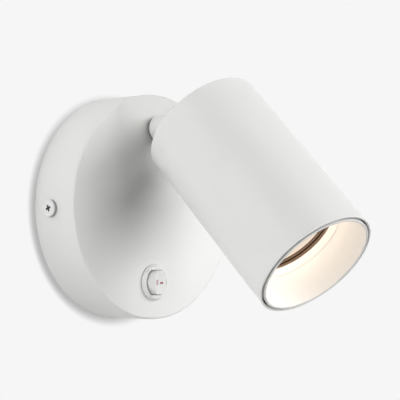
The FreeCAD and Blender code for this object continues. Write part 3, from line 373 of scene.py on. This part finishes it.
satin_nylon = new_material("white_satin_nylon")
place = node(satin_nylon, "ShaderNodeTexCoord").outputs["Object"]
sparks = node(satin_nylon, "ShaderNodeTexNoise", {"Vector": place, "Scale": 1 / SPARK_GRAIN, "Detail": 2.0})
switch_colour = node(satin_nylon, "ShaderNodeMix", {
    "Factor": sparks.outputs["Fac"], "A": linear(SWITCH_WHITE_LOW), "B": linear(SWITCH_WHITE)},
    data_type="RGBA")
spark_bump = node(satin_nylon, "ShaderNodeBump", {
    "Height": sparks.outputs["Fac"], "Strength": 0.15, "Distance": 0.00004})
satin = node(satin_nylon, "ShaderNodeBsdfPrincipled", {
    "Base Color": switch_colour.outputs["Result"], "Roughness": 0.35, "IOR": 1.53,
    "Normal": spark_bump.outputs["Normal"]})
node(satin_nylon, "ShaderNodeOutputMaterial", {"Surface": satin.outputs["BSDF"]})
dress(["switch_housing", "switch_rocker"], satin_nylon)
dress(["switch_blades"], turned_brass)

# Pad-print ink: matt red, thinner in places, so the white shows through a little.
INK_RED = "#8E2B43"
INK_THIN = "#A84A60"
INK_PATCH = 0.0005

print_ink = new_material("red_pad_print_ink")
place = node(print_ink, "ShaderNodeTexCoord").outputs["Object"]
thin_spots = node(print_ink, "ShaderNodeTexNoise", {"Vector": place, "Scale": 1 / INK_PATCH, "Detail": 2.0})
ink_colour = node(print_ink, "ShaderNodeMix", {
    "Factor": thin_spots.outputs["Fac"], "A": linear(INK_RED), "B": linear(INK_THIN)}, data_type="RGBA")
ink = node(print_ink, "ShaderNodeBsdfPrincipled", {
    "Base Color": ink_colour.outputs["Result"], "Roughness": 0.5, "IOR": 1.5})
node(print_ink, "ShaderNodeOutputMaterial", {"Surface": ink.outputs["BSDF"]})

# The rocker turns about an upright line through its hinge. Its two slopes fall from the ridges to
# the valley in its middle, and one mark lies on each. A mark is sunk into its slope and stands
# 0.03 mm proud of it.
ROCKER_HINGE = (-0.0012, -0.0250, -0.0370)
ROCKER_TILT = math.radians(11)
RIDGE_REACH = 0.0048
RIDGE_HEIGHT = 0.00535
VALLEY_HEIGHT = 0.0044
INK_SINK = 0.0002
INK_PROUD = 0.00003

slope_angle = math.atan2(RIDGE_HEIGHT - VALLEY_HEIGHT, RIDGE_REACH)
out_of_wall = Matrix.Rotation(math.pi / 2, 4, "X")
rocker_place = Matrix.Translation(ROCKER_HINGE) @ out_of_wall @ Matrix.Rotation(ROCKER_TILT, 4, "Y")


def print_on_rocker(mark, across, up):
    """Set a flat mark, drawn on z = 0, on the slope of the rocker that lies at across."""
    height = VALLEY_HEIGHT + abs(across) * math.tan(slope_angle)
    mark.data.transform(
        rocker_place @ Matrix.Translation((across, up, height))
        @ Matrix.Rotation(-math.copysign(slope_angle, across), 4, "Y"))
    dress([mark.name], print_ink)
    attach(mark, "rocker")


OFF_RING_HEIGHT = 0.0027
OFF_RING_WIDTH = 0.0020
OFF_RING_PLACE = (-0.0028, 0)
INK_STROKE = 0.0005

bpy.ops.object.select_all(action="DESELECT")
bpy.ops.mesh.primitive_circle_add(
    vertices=48, radius=OFF_RING_HEIGHT / 2, fill_type="NGON", location=(0, 0, -INK_SINK))
off_ring = bpy.context.object
off_ring.name = "off_ring_mark"
bpy.ops.object.transform_apply(location=True)
bpy.ops.object.mode_set(mode="EDIT")
bpy.ops.mesh.select_all(action="SELECT")
bpy.ops.transform.resize(value=(OFF_RING_WIDTH / OFF_RING_HEIGHT, 1, 1))
bpy.ops.mesh.inset(thickness=INK_STROKE)
bpy.ops.mesh.delete(type="FACE")
bpy.ops.mesh.select_all(action="SELECT")
bpy.ops.mesh.extrude_region_move(TRANSFORM_OT_translate={"value": (0, 0, INK_SINK + INK_PROUD)})
bpy.ops.mesh.select_all(action="SELECT")
bpy.ops.mesh.normals_make_consistent(inside=False)
bpy.ops.object.mode_set(mode="OBJECT")
print_on_rocker(off_ring, *OFF_RING_PLACE)

ON_DASH_LENGTH = 0.0021
ON_DASH_WIDTH = 0.0009
ON_DASH_PLACE = (0.00143, -0.0003)
ON_DASH_CORNER = 0.2 * ON_DASH_WIDTH

bpy.ops.object.select_all(action="DESELECT")
bpy.ops.mesh.primitive_plane_add(size=1, location=(0, 0, -INK_SINK))
on_dash = bpy.context.object
on_dash.name = "on_dash_mark"
on_dash.scale = (ON_DASH_LENGTH, ON_DASH_WIDTH, 1)
bpy.ops.object.transform_apply(location=True, scale=True)
bpy.ops.object.mode_set(mode="EDIT")
bpy.ops.mesh.select_all(action="SELECT")
bpy.ops.mesh.bevel(offset=ON_DASH_CORNER, segments=4, affect="VERTICES")
bpy.ops.mesh.select_all(action="SELECT")
bpy.ops.mesh.extrude_region_move(TRANSFORM_OT_translate={"value": (0, 0, INK_SINK + INK_PROUD)})
bpy.ops.mesh.select_all(action="SELECT")
bpy.ops.mesh.normals_make_consistent(inside=False)
bpy.ops.object.mode_set(mode="OBJECT")
print_on_rocker(on_dash, *ON_DASH_PLACE)


# ---- arm and what holds it ----
# Turned steel bar in the same coat, its neck through the canopy, on whose face a nylon washer lies,
# painted grey as the shade in the gap under the arm. Behind the face a tabbed stop washer, a wave
# washer and a nut hold it, and a welded stud stops its turn. These four are zinc plated. Two sleeved
# leads run in its bore.

dress(["arm"], powder_coat)
dress(["stop_stud", "stop_washer", "wave_washer", "lock_nut"], bright_zinc)

# Washer: satin nylon stamped from sheet, painted grey as shade in the gap between arm and canopy, with faint
# blotches of 0.6 mm.
WASHER_GREY = "#8A8A8A"
WASHER_GREY_LOW = "#7B7B7C"
WASHER_BLOTCH = 0.0006

washer_painted_shade = new_material("washer_nylon_painted_shade")
place = node(washer_painted_shade, "ShaderNodeTexCoord").outputs["Object"]
washer_blotches = node(washer_painted_shade, "ShaderNodeTexNoise", {
    "Vector": place, "Scale": 1 / WASHER_BLOTCH, "Detail": 2.0})
washer_colour = node(washer_painted_shade, "ShaderNodeMix", {
    "Factor": washer_blotches.outputs["Fac"], "A": linear(WASHER_GREY_LOW), "B": linear(WASHER_GREY)},
    data_type="RGBA")
washer_skin = node(washer_painted_shade, "ShaderNodeBsdfPrincipled", {
    "Base Color": washer_colour.outputs["Result"], "Roughness": 0.5, "IOR": 1.53})
node(washer_painted_shade, "ShaderNodeOutputMaterial", {"Surface": washer_skin.outputs["BSDF"]})
dress(["face_washer"], washer_painted_shade)

# Braided glass sleeve: off-white yarn that crosses in two directions, in stitches of about 1 mm. A
# diagonal wave of scale 1 has 10 / tau bands to a metre along each axis, and sqrt(3) times as many
# straight across them.
SLEEVE_YARN = "#EFEBE0"
SLEEVE_GAP = "#B9B3A4"
SLEEVE_STITCH = 0.0010257
BANDS_PER_METRE = 10 / math.tau * math.sqrt(3)
sleeve_scale = 1 / SLEEVE_STITCH / BANDS_PER_METRE

glass_sleeve = new_material("braided_glass_sleeve")
place = node(glass_sleeve, "ShaderNodeTexCoord").outputs["Object"]
one_way = node(glass_sleeve, "ShaderNodeTexWave", {
    "Vector": place, "Scale": sleeve_scale}, bands_direction="DIAGONAL")
across = node(glass_sleeve, "ShaderNodeMapping", {"Vector": place, "Scale": (-1, 1, 1)})
other_way = node(glass_sleeve, "ShaderNodeTexWave", {
    "Vector": across.outputs["Vector"], "Scale": sleeve_scale}, bands_direction="DIAGONAL")
weave = node(glass_sleeve, "ShaderNodeMath", {
    0: one_way.outputs["Fac"], 1: other_way.outputs["Fac"]}, operation="MULTIPLY")
yarn_colour = node(glass_sleeve, "ShaderNodeMix", {
    "Factor": weave.outputs["Value"], "A": linear(SLEEVE_GAP), "B": linear(SLEEVE_YARN)}, data_type="RGBA")
weave_bump = node(glass_sleeve, "ShaderNodeBump", {
    "Height": weave.outputs["Value"], "Strength": 0.5, "Distance": 0.0001})
yarn = node(glass_sleeve, "ShaderNodeBsdfPrincipled", {
    "Base Color": yarn_colour.outputs["Result"], "Roughness": 0.8, "IOR": 1.5,
    "Normal": weave_bump.outputs["Normal"]})
node(glass_sleeve, "ShaderNodeOutputMaterial", {"Surface": yarn.outputs["BSDF"]})
dress(["arm_leads"], glass_sleeve)


# ---- rear cap and pivot ----
# Die-cast cap with a channel for the arm, in the same coat. A zinc-plated pan-head screw with a nut
# runs through its cheeks and the arm's tongue, with a nylon friction washer at each side.

dress(["rear_cap"], powder_coat)
dress(["pivot_screw", "pivot_nut"], bright_zinc)
dress(["friction_washers"], natural_nylon)


# ---- lampholder ----
# Twist-slot holder of unglazed steatite on a pressed bracket of zinc-plated steel. Two screws hold
# the bracket to the cap and two hold the holder to it, and two sleeved leads leave its rear.

# Steatite: a dense cream ceramic, matt and finely speckled. A speck is 0.35 mm.
STEATITE_PALE = "#EDE8DD"
STEATITE_SPECK = "#D5CDBD"
SPECK = 0.00035

steatite = new_material("unglazed_steatite")
place = node(steatite, "ShaderNodeTexCoord").outputs["Object"]
specks = node(steatite, "ShaderNodeTexNoise", {"Vector": place, "Scale": 1 / SPECK, "Detail": 4.0})
few_specks = node(steatite, "ShaderNodeMapRange", {
    "Value": specks.outputs["Fac"], "From Min": 0.55, "From Max": 0.75})
steatite_colour = node(steatite, "ShaderNodeMix", {
    "Factor": few_specks.outputs["Result"], "A": linear(STEATITE_PALE), "B": linear(STEATITE_SPECK)},
    data_type="RGBA")
speck_bump = node(steatite, "ShaderNodeBump", {
    "Height": specks.outputs["Fac"], "Strength": 0.25, "Distance": 0.00006})
ceramic = node(steatite, "ShaderNodeBsdfPrincipled", {
    "Base Color": steatite_colour.outputs["Result"], "Roughness": 0.6, "IOR": 1.6,
    "Normal": speck_bump.outputs["Normal"]})
node(steatite, "ShaderNodeOutputMaterial", {"Surface": ceramic.outputs["BSDF"]})
dress(["lampholder"], steatite)
dress(["holder_bracket", "bracket_screws", "holder_screws"], bright_zinc)
dress(["holder_leads"], glass_sleeve)


# ---- lamp ----
# 50 mm twist-lock lamp: white moulded body, two nickel-plated pins, a metal ring round the front,
# painted dark brown as shade with warm light from the lens, and in it a frosted lens that glows warm white.

# Lamp plastic: white and slightly glossy, with soft flow marks of 5 mm.
LAMP_WHITE = "#F0F0EE"
LAMP_WHITE_LOW = "#E6E6E3"
LAMP_FLOW = 0.005

lamp_plastic = new_material("white_moulded_thermoplastic")
place = node(lamp_plastic, "ShaderNodeTexCoord").outputs["Object"]
lamp_flow = node(lamp_plastic, "ShaderNodeTexNoise", {"Vector": place, "Scale": 1 / LAMP_FLOW, "Detail": 2.0})
lamp_colour = node(lamp_plastic, "ShaderNodeMix", {
    "Factor": lamp_flow.outputs["Fac"], "A": linear(LAMP_WHITE_LOW), "B": linear(LAMP_WHITE)},
    data_type="RGBA")
lamp_shell = node(lamp_plastic, "ShaderNodeBsdfPrincipled", {
    "Base Color": lamp_colour.outputs["Result"], "Roughness": 0.3, "IOR": 1.55})
node(lamp_plastic, "ShaderNodeOutputMaterial", {"Surface": lamp_shell.outputs["BSDF"]})
dress(["lamp_body"], lamp_plastic)

# Nickel plate: warm grey and bright, with polishing marks of 0.3 mm.
NICKEL = "#C9C4BA"
NICKEL_DULL = "#B4AEA2"
POLISH_MARK = 0.0003

nickel_plate = new_material("nickel_plate")
place = node(nickel_plate, "ShaderNodeTexCoord").outputs["Object"]
polish = node(nickel_plate, "ShaderNodeTexNoise", {"Vector": place, "Scale": 1 / POLISH_MARK, "Detail": 2.0})
nickel_colour = node(nickel_plate, "ShaderNodeMix", {
    "Factor": polish.outputs["Fac"], "A": linear(NICKEL), "B": linear(NICKEL_DULL)}, data_type="RGBA")
nickel = node(nickel_plate, "ShaderNodeBsdfPrincipled", {
    "Base Color": nickel_colour.outputs["Result"], "Metallic": 1.0, "Roughness": 0.22})
node(nickel_plate, "ShaderNodeOutputMaterial", {"Surface": nickel.outputs["BSDF"]})
dress(["lamp_pins"], nickel_plate)

# Ring: turned metal, satin. Its dark brown is painted shade with painted warm light from the lens, darker in
# random spots of 0.3 mm.
RING_BROWN = "#553F2D"
RING_DARK = "#402F20"
RING_SPOT = 0.0003

ring_shade_finish = new_material("brown_ring_painted_shade")
place = node(ring_shade_finish, "ShaderNodeTexCoord").outputs["Object"]
ring_spots = node(ring_shade_finish, "ShaderNodeTexNoise", {"Vector": place, "Scale": 1 / RING_SPOT, "Detail": 2.0})
ring_colour = node(ring_shade_finish, "ShaderNodeMix", {
    "Factor": ring_spots.outputs["Fac"], "A": linear(RING_BROWN), "B": linear(RING_DARK)}, data_type="RGBA")
ring = node(ring_shade_finish, "ShaderNodeBsdfPrincipled", {
    "Base Color": ring_colour.outputs["Result"], "Metallic": 0.3, "Roughness": 0.45})
node(ring_shade_finish, "ShaderNodeOutputMaterial", {"Surface": ring.outputs["BSDF"]})
dress(["lamp_ring"], ring_shade_finish)

# Lens: frosted plastic, lit from behind, brightest in its middle, with fine frost of 0.5 mm. It
# throws more light on the cone than it shows to the eye, where it stays below white. The cross
# product with the lens's axis gives how far a point lies from that axis.
LENS_GLOW = "#FCEAD6"
LENS_BODY = "#3A352E"
LENS_FROST = 0.0005
LENS_RADIUS = 0.0222
LENS_AXIS = (0, -0.71203, -0.70215)
LENS_LIGHT = 3.7
LENS_SEEN_MIDDLE = 1.0
LENS_SEEN_EDGE = 0.88

lit_lens = new_material("frosted_lit_lens")
place = node(lit_lens, "ShaderNodeTexCoord").outputs["Object"]
frost = node(lit_lens, "ShaderNodeTexNoise", {"Vector": place, "Scale": 1 / LENS_FROST, "Detail": 2.0})
frost_bump = node(lit_lens, "ShaderNodeBump", {
    "Height": frost.outputs["Fac"], "Strength": 0.4, "Distance": 0.0001})
lens_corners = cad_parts["lamp_lens"].bound_box
lens_middle = [sum(corner[axis] for corner in lens_corners) / len(lens_corners) for axis in range(3)]
from_middle = node(lit_lens, "ShaderNodeVectorMath", {0: place, 1: lens_middle}, operation="SUBTRACT")
across_axis = node(lit_lens, "ShaderNodeVectorMath", {
    0: from_middle.outputs["Vector"], 1: LENS_AXIS}, operation="CROSS_PRODUCT")
off_axis = node(lit_lens, "ShaderNodeVectorMath", {0: across_axis.outputs["Vector"]}, operation="LENGTH")
lens_seen = node(lit_lens, "ShaderNodeMapRange", {
    "Value": off_axis.outputs["Value"], "From Max": LENS_RADIUS, "To Min": LENS_SEEN_MIDDLE,
    "To Max": LENS_SEEN_EDGE}, interpolation_type="SMOOTHSTEP")
lens_path = node(lit_lens, "ShaderNodeLightPath")
lens_power = node(lit_lens, "ShaderNodeMapRange", {
    "Value": lens_path.outputs["Is Camera Ray"], "To Min": LENS_LIGHT, "To Max": lens_seen.outputs["Result"]})
lens = node(lit_lens, "ShaderNodeBsdfPrincipled", {
    "Base Color": linear(LENS_BODY), "Roughness": 0.3, "IOR": 1.49, "Emission Color": linear(LENS_GLOW),
    "Emission Strength": lens_power.outputs["Result"], "Normal": frost_bump.outputs["Normal"]})
node(lit_lens, "ShaderNodeOutputMaterial", {"Surface": lens.outputs["BSDF"]})
dress(["lamp_lens"], lit_lens)


# ---- head tube and baffle ----
# Drawn aluminium tube in the same coat. In its mouth sits a matt white moulded cone that hides the
# lamp's edge, held by three leaf springs that press on the tube's bore.

dress(["head_tube"], powder_coat)

# Baffle plastic: matt white, with the fine grain of its mould, 0.4 mm.
BAFFLE_WHITE = "#EAE9E7"
BAFFLE_WHITE_LOW = "#E5E4E2"
BAFFLE_GRAIN = 0.0004

matt_baffle = new_material("matt_white_moulding")
place = node(matt_baffle, "ShaderNodeTexCoord").outputs["Object"]
baffle_grain = node(matt_baffle, "ShaderNodeTexNoise", {
    "Vector": place, "Scale": 1 / BAFFLE_GRAIN, "Detail": 2.0})
baffle_colour = node(matt_baffle, "ShaderNodeMix", {
    "Factor": baffle_grain.outputs["Fac"], "A": linear(BAFFLE_WHITE_LOW), "B": linear(BAFFLE_WHITE)},
    data_type="RGBA")
baffle_bump = node(matt_baffle, "ShaderNodeBump", {
    "Height": baffle_grain.outputs["Fac"], "Strength": 0.15, "Distance": 0.00005})
matt = node(matt_baffle, "ShaderNodeBsdfPrincipled", {
    "Base Color": baffle_colour.outputs["Result"], "Roughness": 0.65, "IOR": 1.49,
    "Normal": baffle_bump.outputs["Normal"]})
node(matt_baffle, "ShaderNodeOutputMaterial", {"Surface": matt.outputs["BSDF"]})
dress(["baffle"], matt_baffle)

# Spring strip: bright rolled steel, bluish in patches of 3 mm from the heat of its hardening.
SPRING_BRIGHT = "#BFC1C4"
SPRING_BLUED = "#8E94A3"
BLUED_PATCH = 0.003

spring_strip = new_material("hardened_spring_strip")
place = node(spring_strip, "ShaderNodeTexCoord").outputs["Object"]
blued = node(spring_strip, "ShaderNodeTexNoise", {"Vector": place, "Scale": 1 / BLUED_PATCH, "Detail": 2.0})
spring_colour = node(spring_strip, "ShaderNodeMix", {
    "Factor": blued.outputs["Fac"], "A": linear(SPRING_BRIGHT), "B": linear(SPRING_BLUED)}, data_type="RGBA")
strip = node(spring_strip, "ShaderNodeBsdfPrincipled", {
    "Base Color": spring_colour.outputs["Result"], "Metallic": 1.0, "Roughness": 0.3})
node(spring_strip, "ShaderNodeOutputMaterial", {"Surface": strip.outputs["BSDF"]})
dress(["baffle_clips"], spring_strip)


# ---- wall ----
# A white wall behind the light. It is open behind the canopy, so that the canopy's inside is lit
# in a view from behind, and it lets such a view through. Seen from the room it is plain and pale,
# with only the contact shadow that the canopy leaves at its lower left.

# Contact shadow: where the canopy stands in the way within 6 mm, looking up, out and to the right.
# It is at its darkest where less than SHADOW_CORE of that view is open, and fades at SHADOW_EDGE.
WALL_PALE = "#F6F6F6"
SHADOW_REACH = 0.006
SHADOW_LEAN = (1.5, -1.0, 0.8)
SHADOW_CORE = 0.45
SHADOW_EDGE = 0.88
SHADOW_DEPTH = 0.5
WALL_RADIUS = 2.0
WALL_HOLE_RADIUS = 0.0538

white_wall = new_material("white_wall")
paint = node(white_wall, "ShaderNodeBsdfDiffuse", {"Color": linear(WALL_PALE)})
lean = node(white_wall, "ShaderNodeCombineXYZ", dict(zip("XYZ", SHADOW_LEAN)))
contact = node(white_wall, "ShaderNodeAmbientOcclusion", {
    "Distance": SHADOW_REACH, "Normal": lean.outputs["Vector"]}, samples=16)
shade = node(white_wall, "ShaderNodeMapRange", {
    "Value": contact.outputs["AO"], "From Min": SHADOW_CORE, "From Max": SHADOW_EDGE,
    "To Min": SHADOW_DEPTH, "To Max": 1.0})
pale = node(white_wall, "ShaderNodeEmission", {
    "Color": linear(WALL_PALE), "Strength": shade.outputs["Result"]})
path = node(white_wall, "ShaderNodeLightPath")
seen = node(white_wall, "ShaderNodeMath", {
    0: path.outputs["Is Camera Ray"], 1: path.outputs["Is Glossy Ray"]}, operation="MAXIMUM")
seen_or_through = node(white_wall, "ShaderNodeMath", {
    0: seen.outputs["Value"], 1: path.outputs["Is Transmission Ray"]}, operation="MAXIMUM")
front = node(white_wall, "ShaderNodeMixShader", {
    0: seen_or_through.outputs["Value"], 1: paint.outputs["BSDF"], 2: pale.outputs["Emission"]})
see_through = node(white_wall, "ShaderNodeBsdfTransparent")
back_side = node(white_wall, "ShaderNodeNewGeometry").outputs["Backfacing"]
both = node(white_wall, "ShaderNodeMixShader", {
    0: back_side, 1: front.outputs["Shader"], 2: see_through.outputs["BSDF"]})
node(white_wall, "ShaderNodeOutputMaterial", {"Surface": both.outputs["Shader"]})

bpy.ops.object.select_all(action="DESELECT")
bpy.ops.mesh.primitive_circle_add(
    vertices=96, radius=WALL_HOLE_RADIUS, location=(0, 0, 0), rotation=(math.pi / 2, 0, 0))
wall = bpy.context.object
wall.name = "wall"
bpy.ops.object.mode_set(mode="EDIT")
bpy.ops.mesh.select_all(action="SELECT")
bpy.ops.mesh.extrude_edges_move()
bpy.ops.transform.resize(value=(WALL_RADIUS / WALL_HOLE_RADIUS,) * 3)
bpy.ops.object.mode_set(mode="OBJECT")
bpy.ops.object.transform_apply(location=True, rotation=True, scale=True)
if wall.data.polygons[0].normal.y > 0:
    wall.data.flip_normals()
wall.data.materials.append(white_wall)


# ---- studio light ----
# A bank of soft boxes in front and to the right, one far to the left that lifts the shadow of the
# head on the canopy, one behind the wall for views from behind, and a low light from all round.

LIGHT_AIM = Vector((0, -0.05, 0))


def soft_box(name, azimuth, elevation, distance, width, height, power):
    """Soft box that faces the object, its azimuth and elevation in degrees and its power in watts.

    Azimuth 0 is straight out from the wall, and it grows to the right.
    """
    azimuth, elevation = math.radians(azimuth), math.radians(elevation)
    stand = LIGHT_AIM + distance * Vector((
        math.sin(azimuth) * math.cos(elevation),
        -math.cos(azimuth) * math.cos(elevation),
        math.sin(elevation),
    ))
    box_data = bpy.data.lights.new(name, "AREA")
    box_data.shape = "RECTANGLE"
    box_data.size, box_data.size_y = width, height
    box_data.energy = power
    box = bpy.data.objects.new(name, box_data)
    box.location = stand
    box.rotation_mode = "QUATERNION"
    box.rotation_quaternion = (LIGHT_AIM - stand).to_track_quat("-Z", "Y")
    bpy.context.scene.collection.objects.link(box)


soft_box("right_box", azimuth=45, elevation=20, distance=1.5, width=0.7, height=0.7, power=10.7)
soft_box("upper_box", azimuth=25, elevation=40, distance=1.5, width=0.7, height=0.6, power=4.5)
soft_box("front_box", azimuth=5, elevation=20, distance=1.5, width=0.7, height=0.7, power=1.4)
soft_box("low_box", azimuth=5, elevation=-20, distance=1.5, width=0.7, height=0.6, power=9.6)
soft_box("left_box", azimuth=-85, elevation=10, distance=1.5, width=0.4, height=1.2, power=11.2)
soft_box("back_box", azimuth=160, elevation=25, distance=1.2, width=0.8, height=0.8, power=6)

ROOM_PALE = "#F6F6F6"
ROOM_LIGHT = 0.12

world = bpy.data.worlds.new("studio")
bpy.context.scene.world = world
world.use_nodes = True
world.node_tree.nodes.clear()
view_path = node(world, "ShaderNodeLightPath")
seen_sky = node(world, "ShaderNodeMath", {
    0: view_path.outputs["Is Camera Ray"], 1: view_path.outputs["Is Transmission Ray"]}, operation="MAXIMUM")
sky_light = node(world, "ShaderNodeBackground", {"Color": linear(ROOM_PALE), "Strength": ROOM_LIGHT})
sky_seen = node(world, "ShaderNodeBackground", {"Color": linear(ROOM_PALE), "Strength": 1.0})
sky = node(world, "ShaderNodeMixShader", {
    0: seen_sky.outputs["Value"], 1: sky_light.outputs["Background"], 2: sky_seen.outputs["Background"]})
node(world, "ShaderNodeOutputWorld", {"Surface": sky.outputs["Shader"]})


# ---- camera ----
# It stands to the left of the wall light, a little below its middle, with a long lens. The focal
# length is in pixels of the square picture, and the shifts slide the picture to its place.

VIEW_AZIMUTH = math.radians(-47.78)
VIEW_ELEVATION = math.radians(-2.15)
VIEW_DISTANCE = 0.71078
VIEW_CENTRE = Vector((0, -0.06, 0))
VIEW_SHIFT_RIGHT = -0.0032
VIEW_SHIFT_UP = 0.00247
FOCAL_PIXELS = 1495.46
IMAGE_PIXELS = 400
SENSOR_MM = 36.0

view_back = Vector((
    math.sin(VIEW_AZIMUTH) * math.cos(VIEW_ELEVATION),
    -math.cos(VIEW_AZIMUTH) * math.cos(VIEW_ELEVATION),
    math.sin(VIEW_ELEVATION),
))
view_right = Vector((math.cos(VIEW_AZIMUTH), math.sin(VIEW_AZIMUTH), 0))
view_up = view_back.cross(view_right)
camera_data = bpy.data.cameras.new("camera")
camera_data.sensor_width = SENSOR_MM
camera_data.lens = FOCAL_PIXELS / IMAGE_PIXELS * SENSOR_MM
camera_data.clip_start = 0.01
camera_data.clip_end = 20
camera = bpy.data.objects.new("camera", camera_data)
camera.matrix_world = Matrix.Translation(
    VIEW_CENTRE + view_back * VIEW_DISTANCE + view_right * VIEW_SHIFT_RIGHT + view_up * VIEW_SHIFT_UP
) @ Matrix((view_right, view_up, view_back)).transposed().to_4x4()
bpy.context.scene.collection.objects.link(camera)
bpy.context.scene.camera = camera
bpy.context.scene.view_settings.view_transform = "Standard"
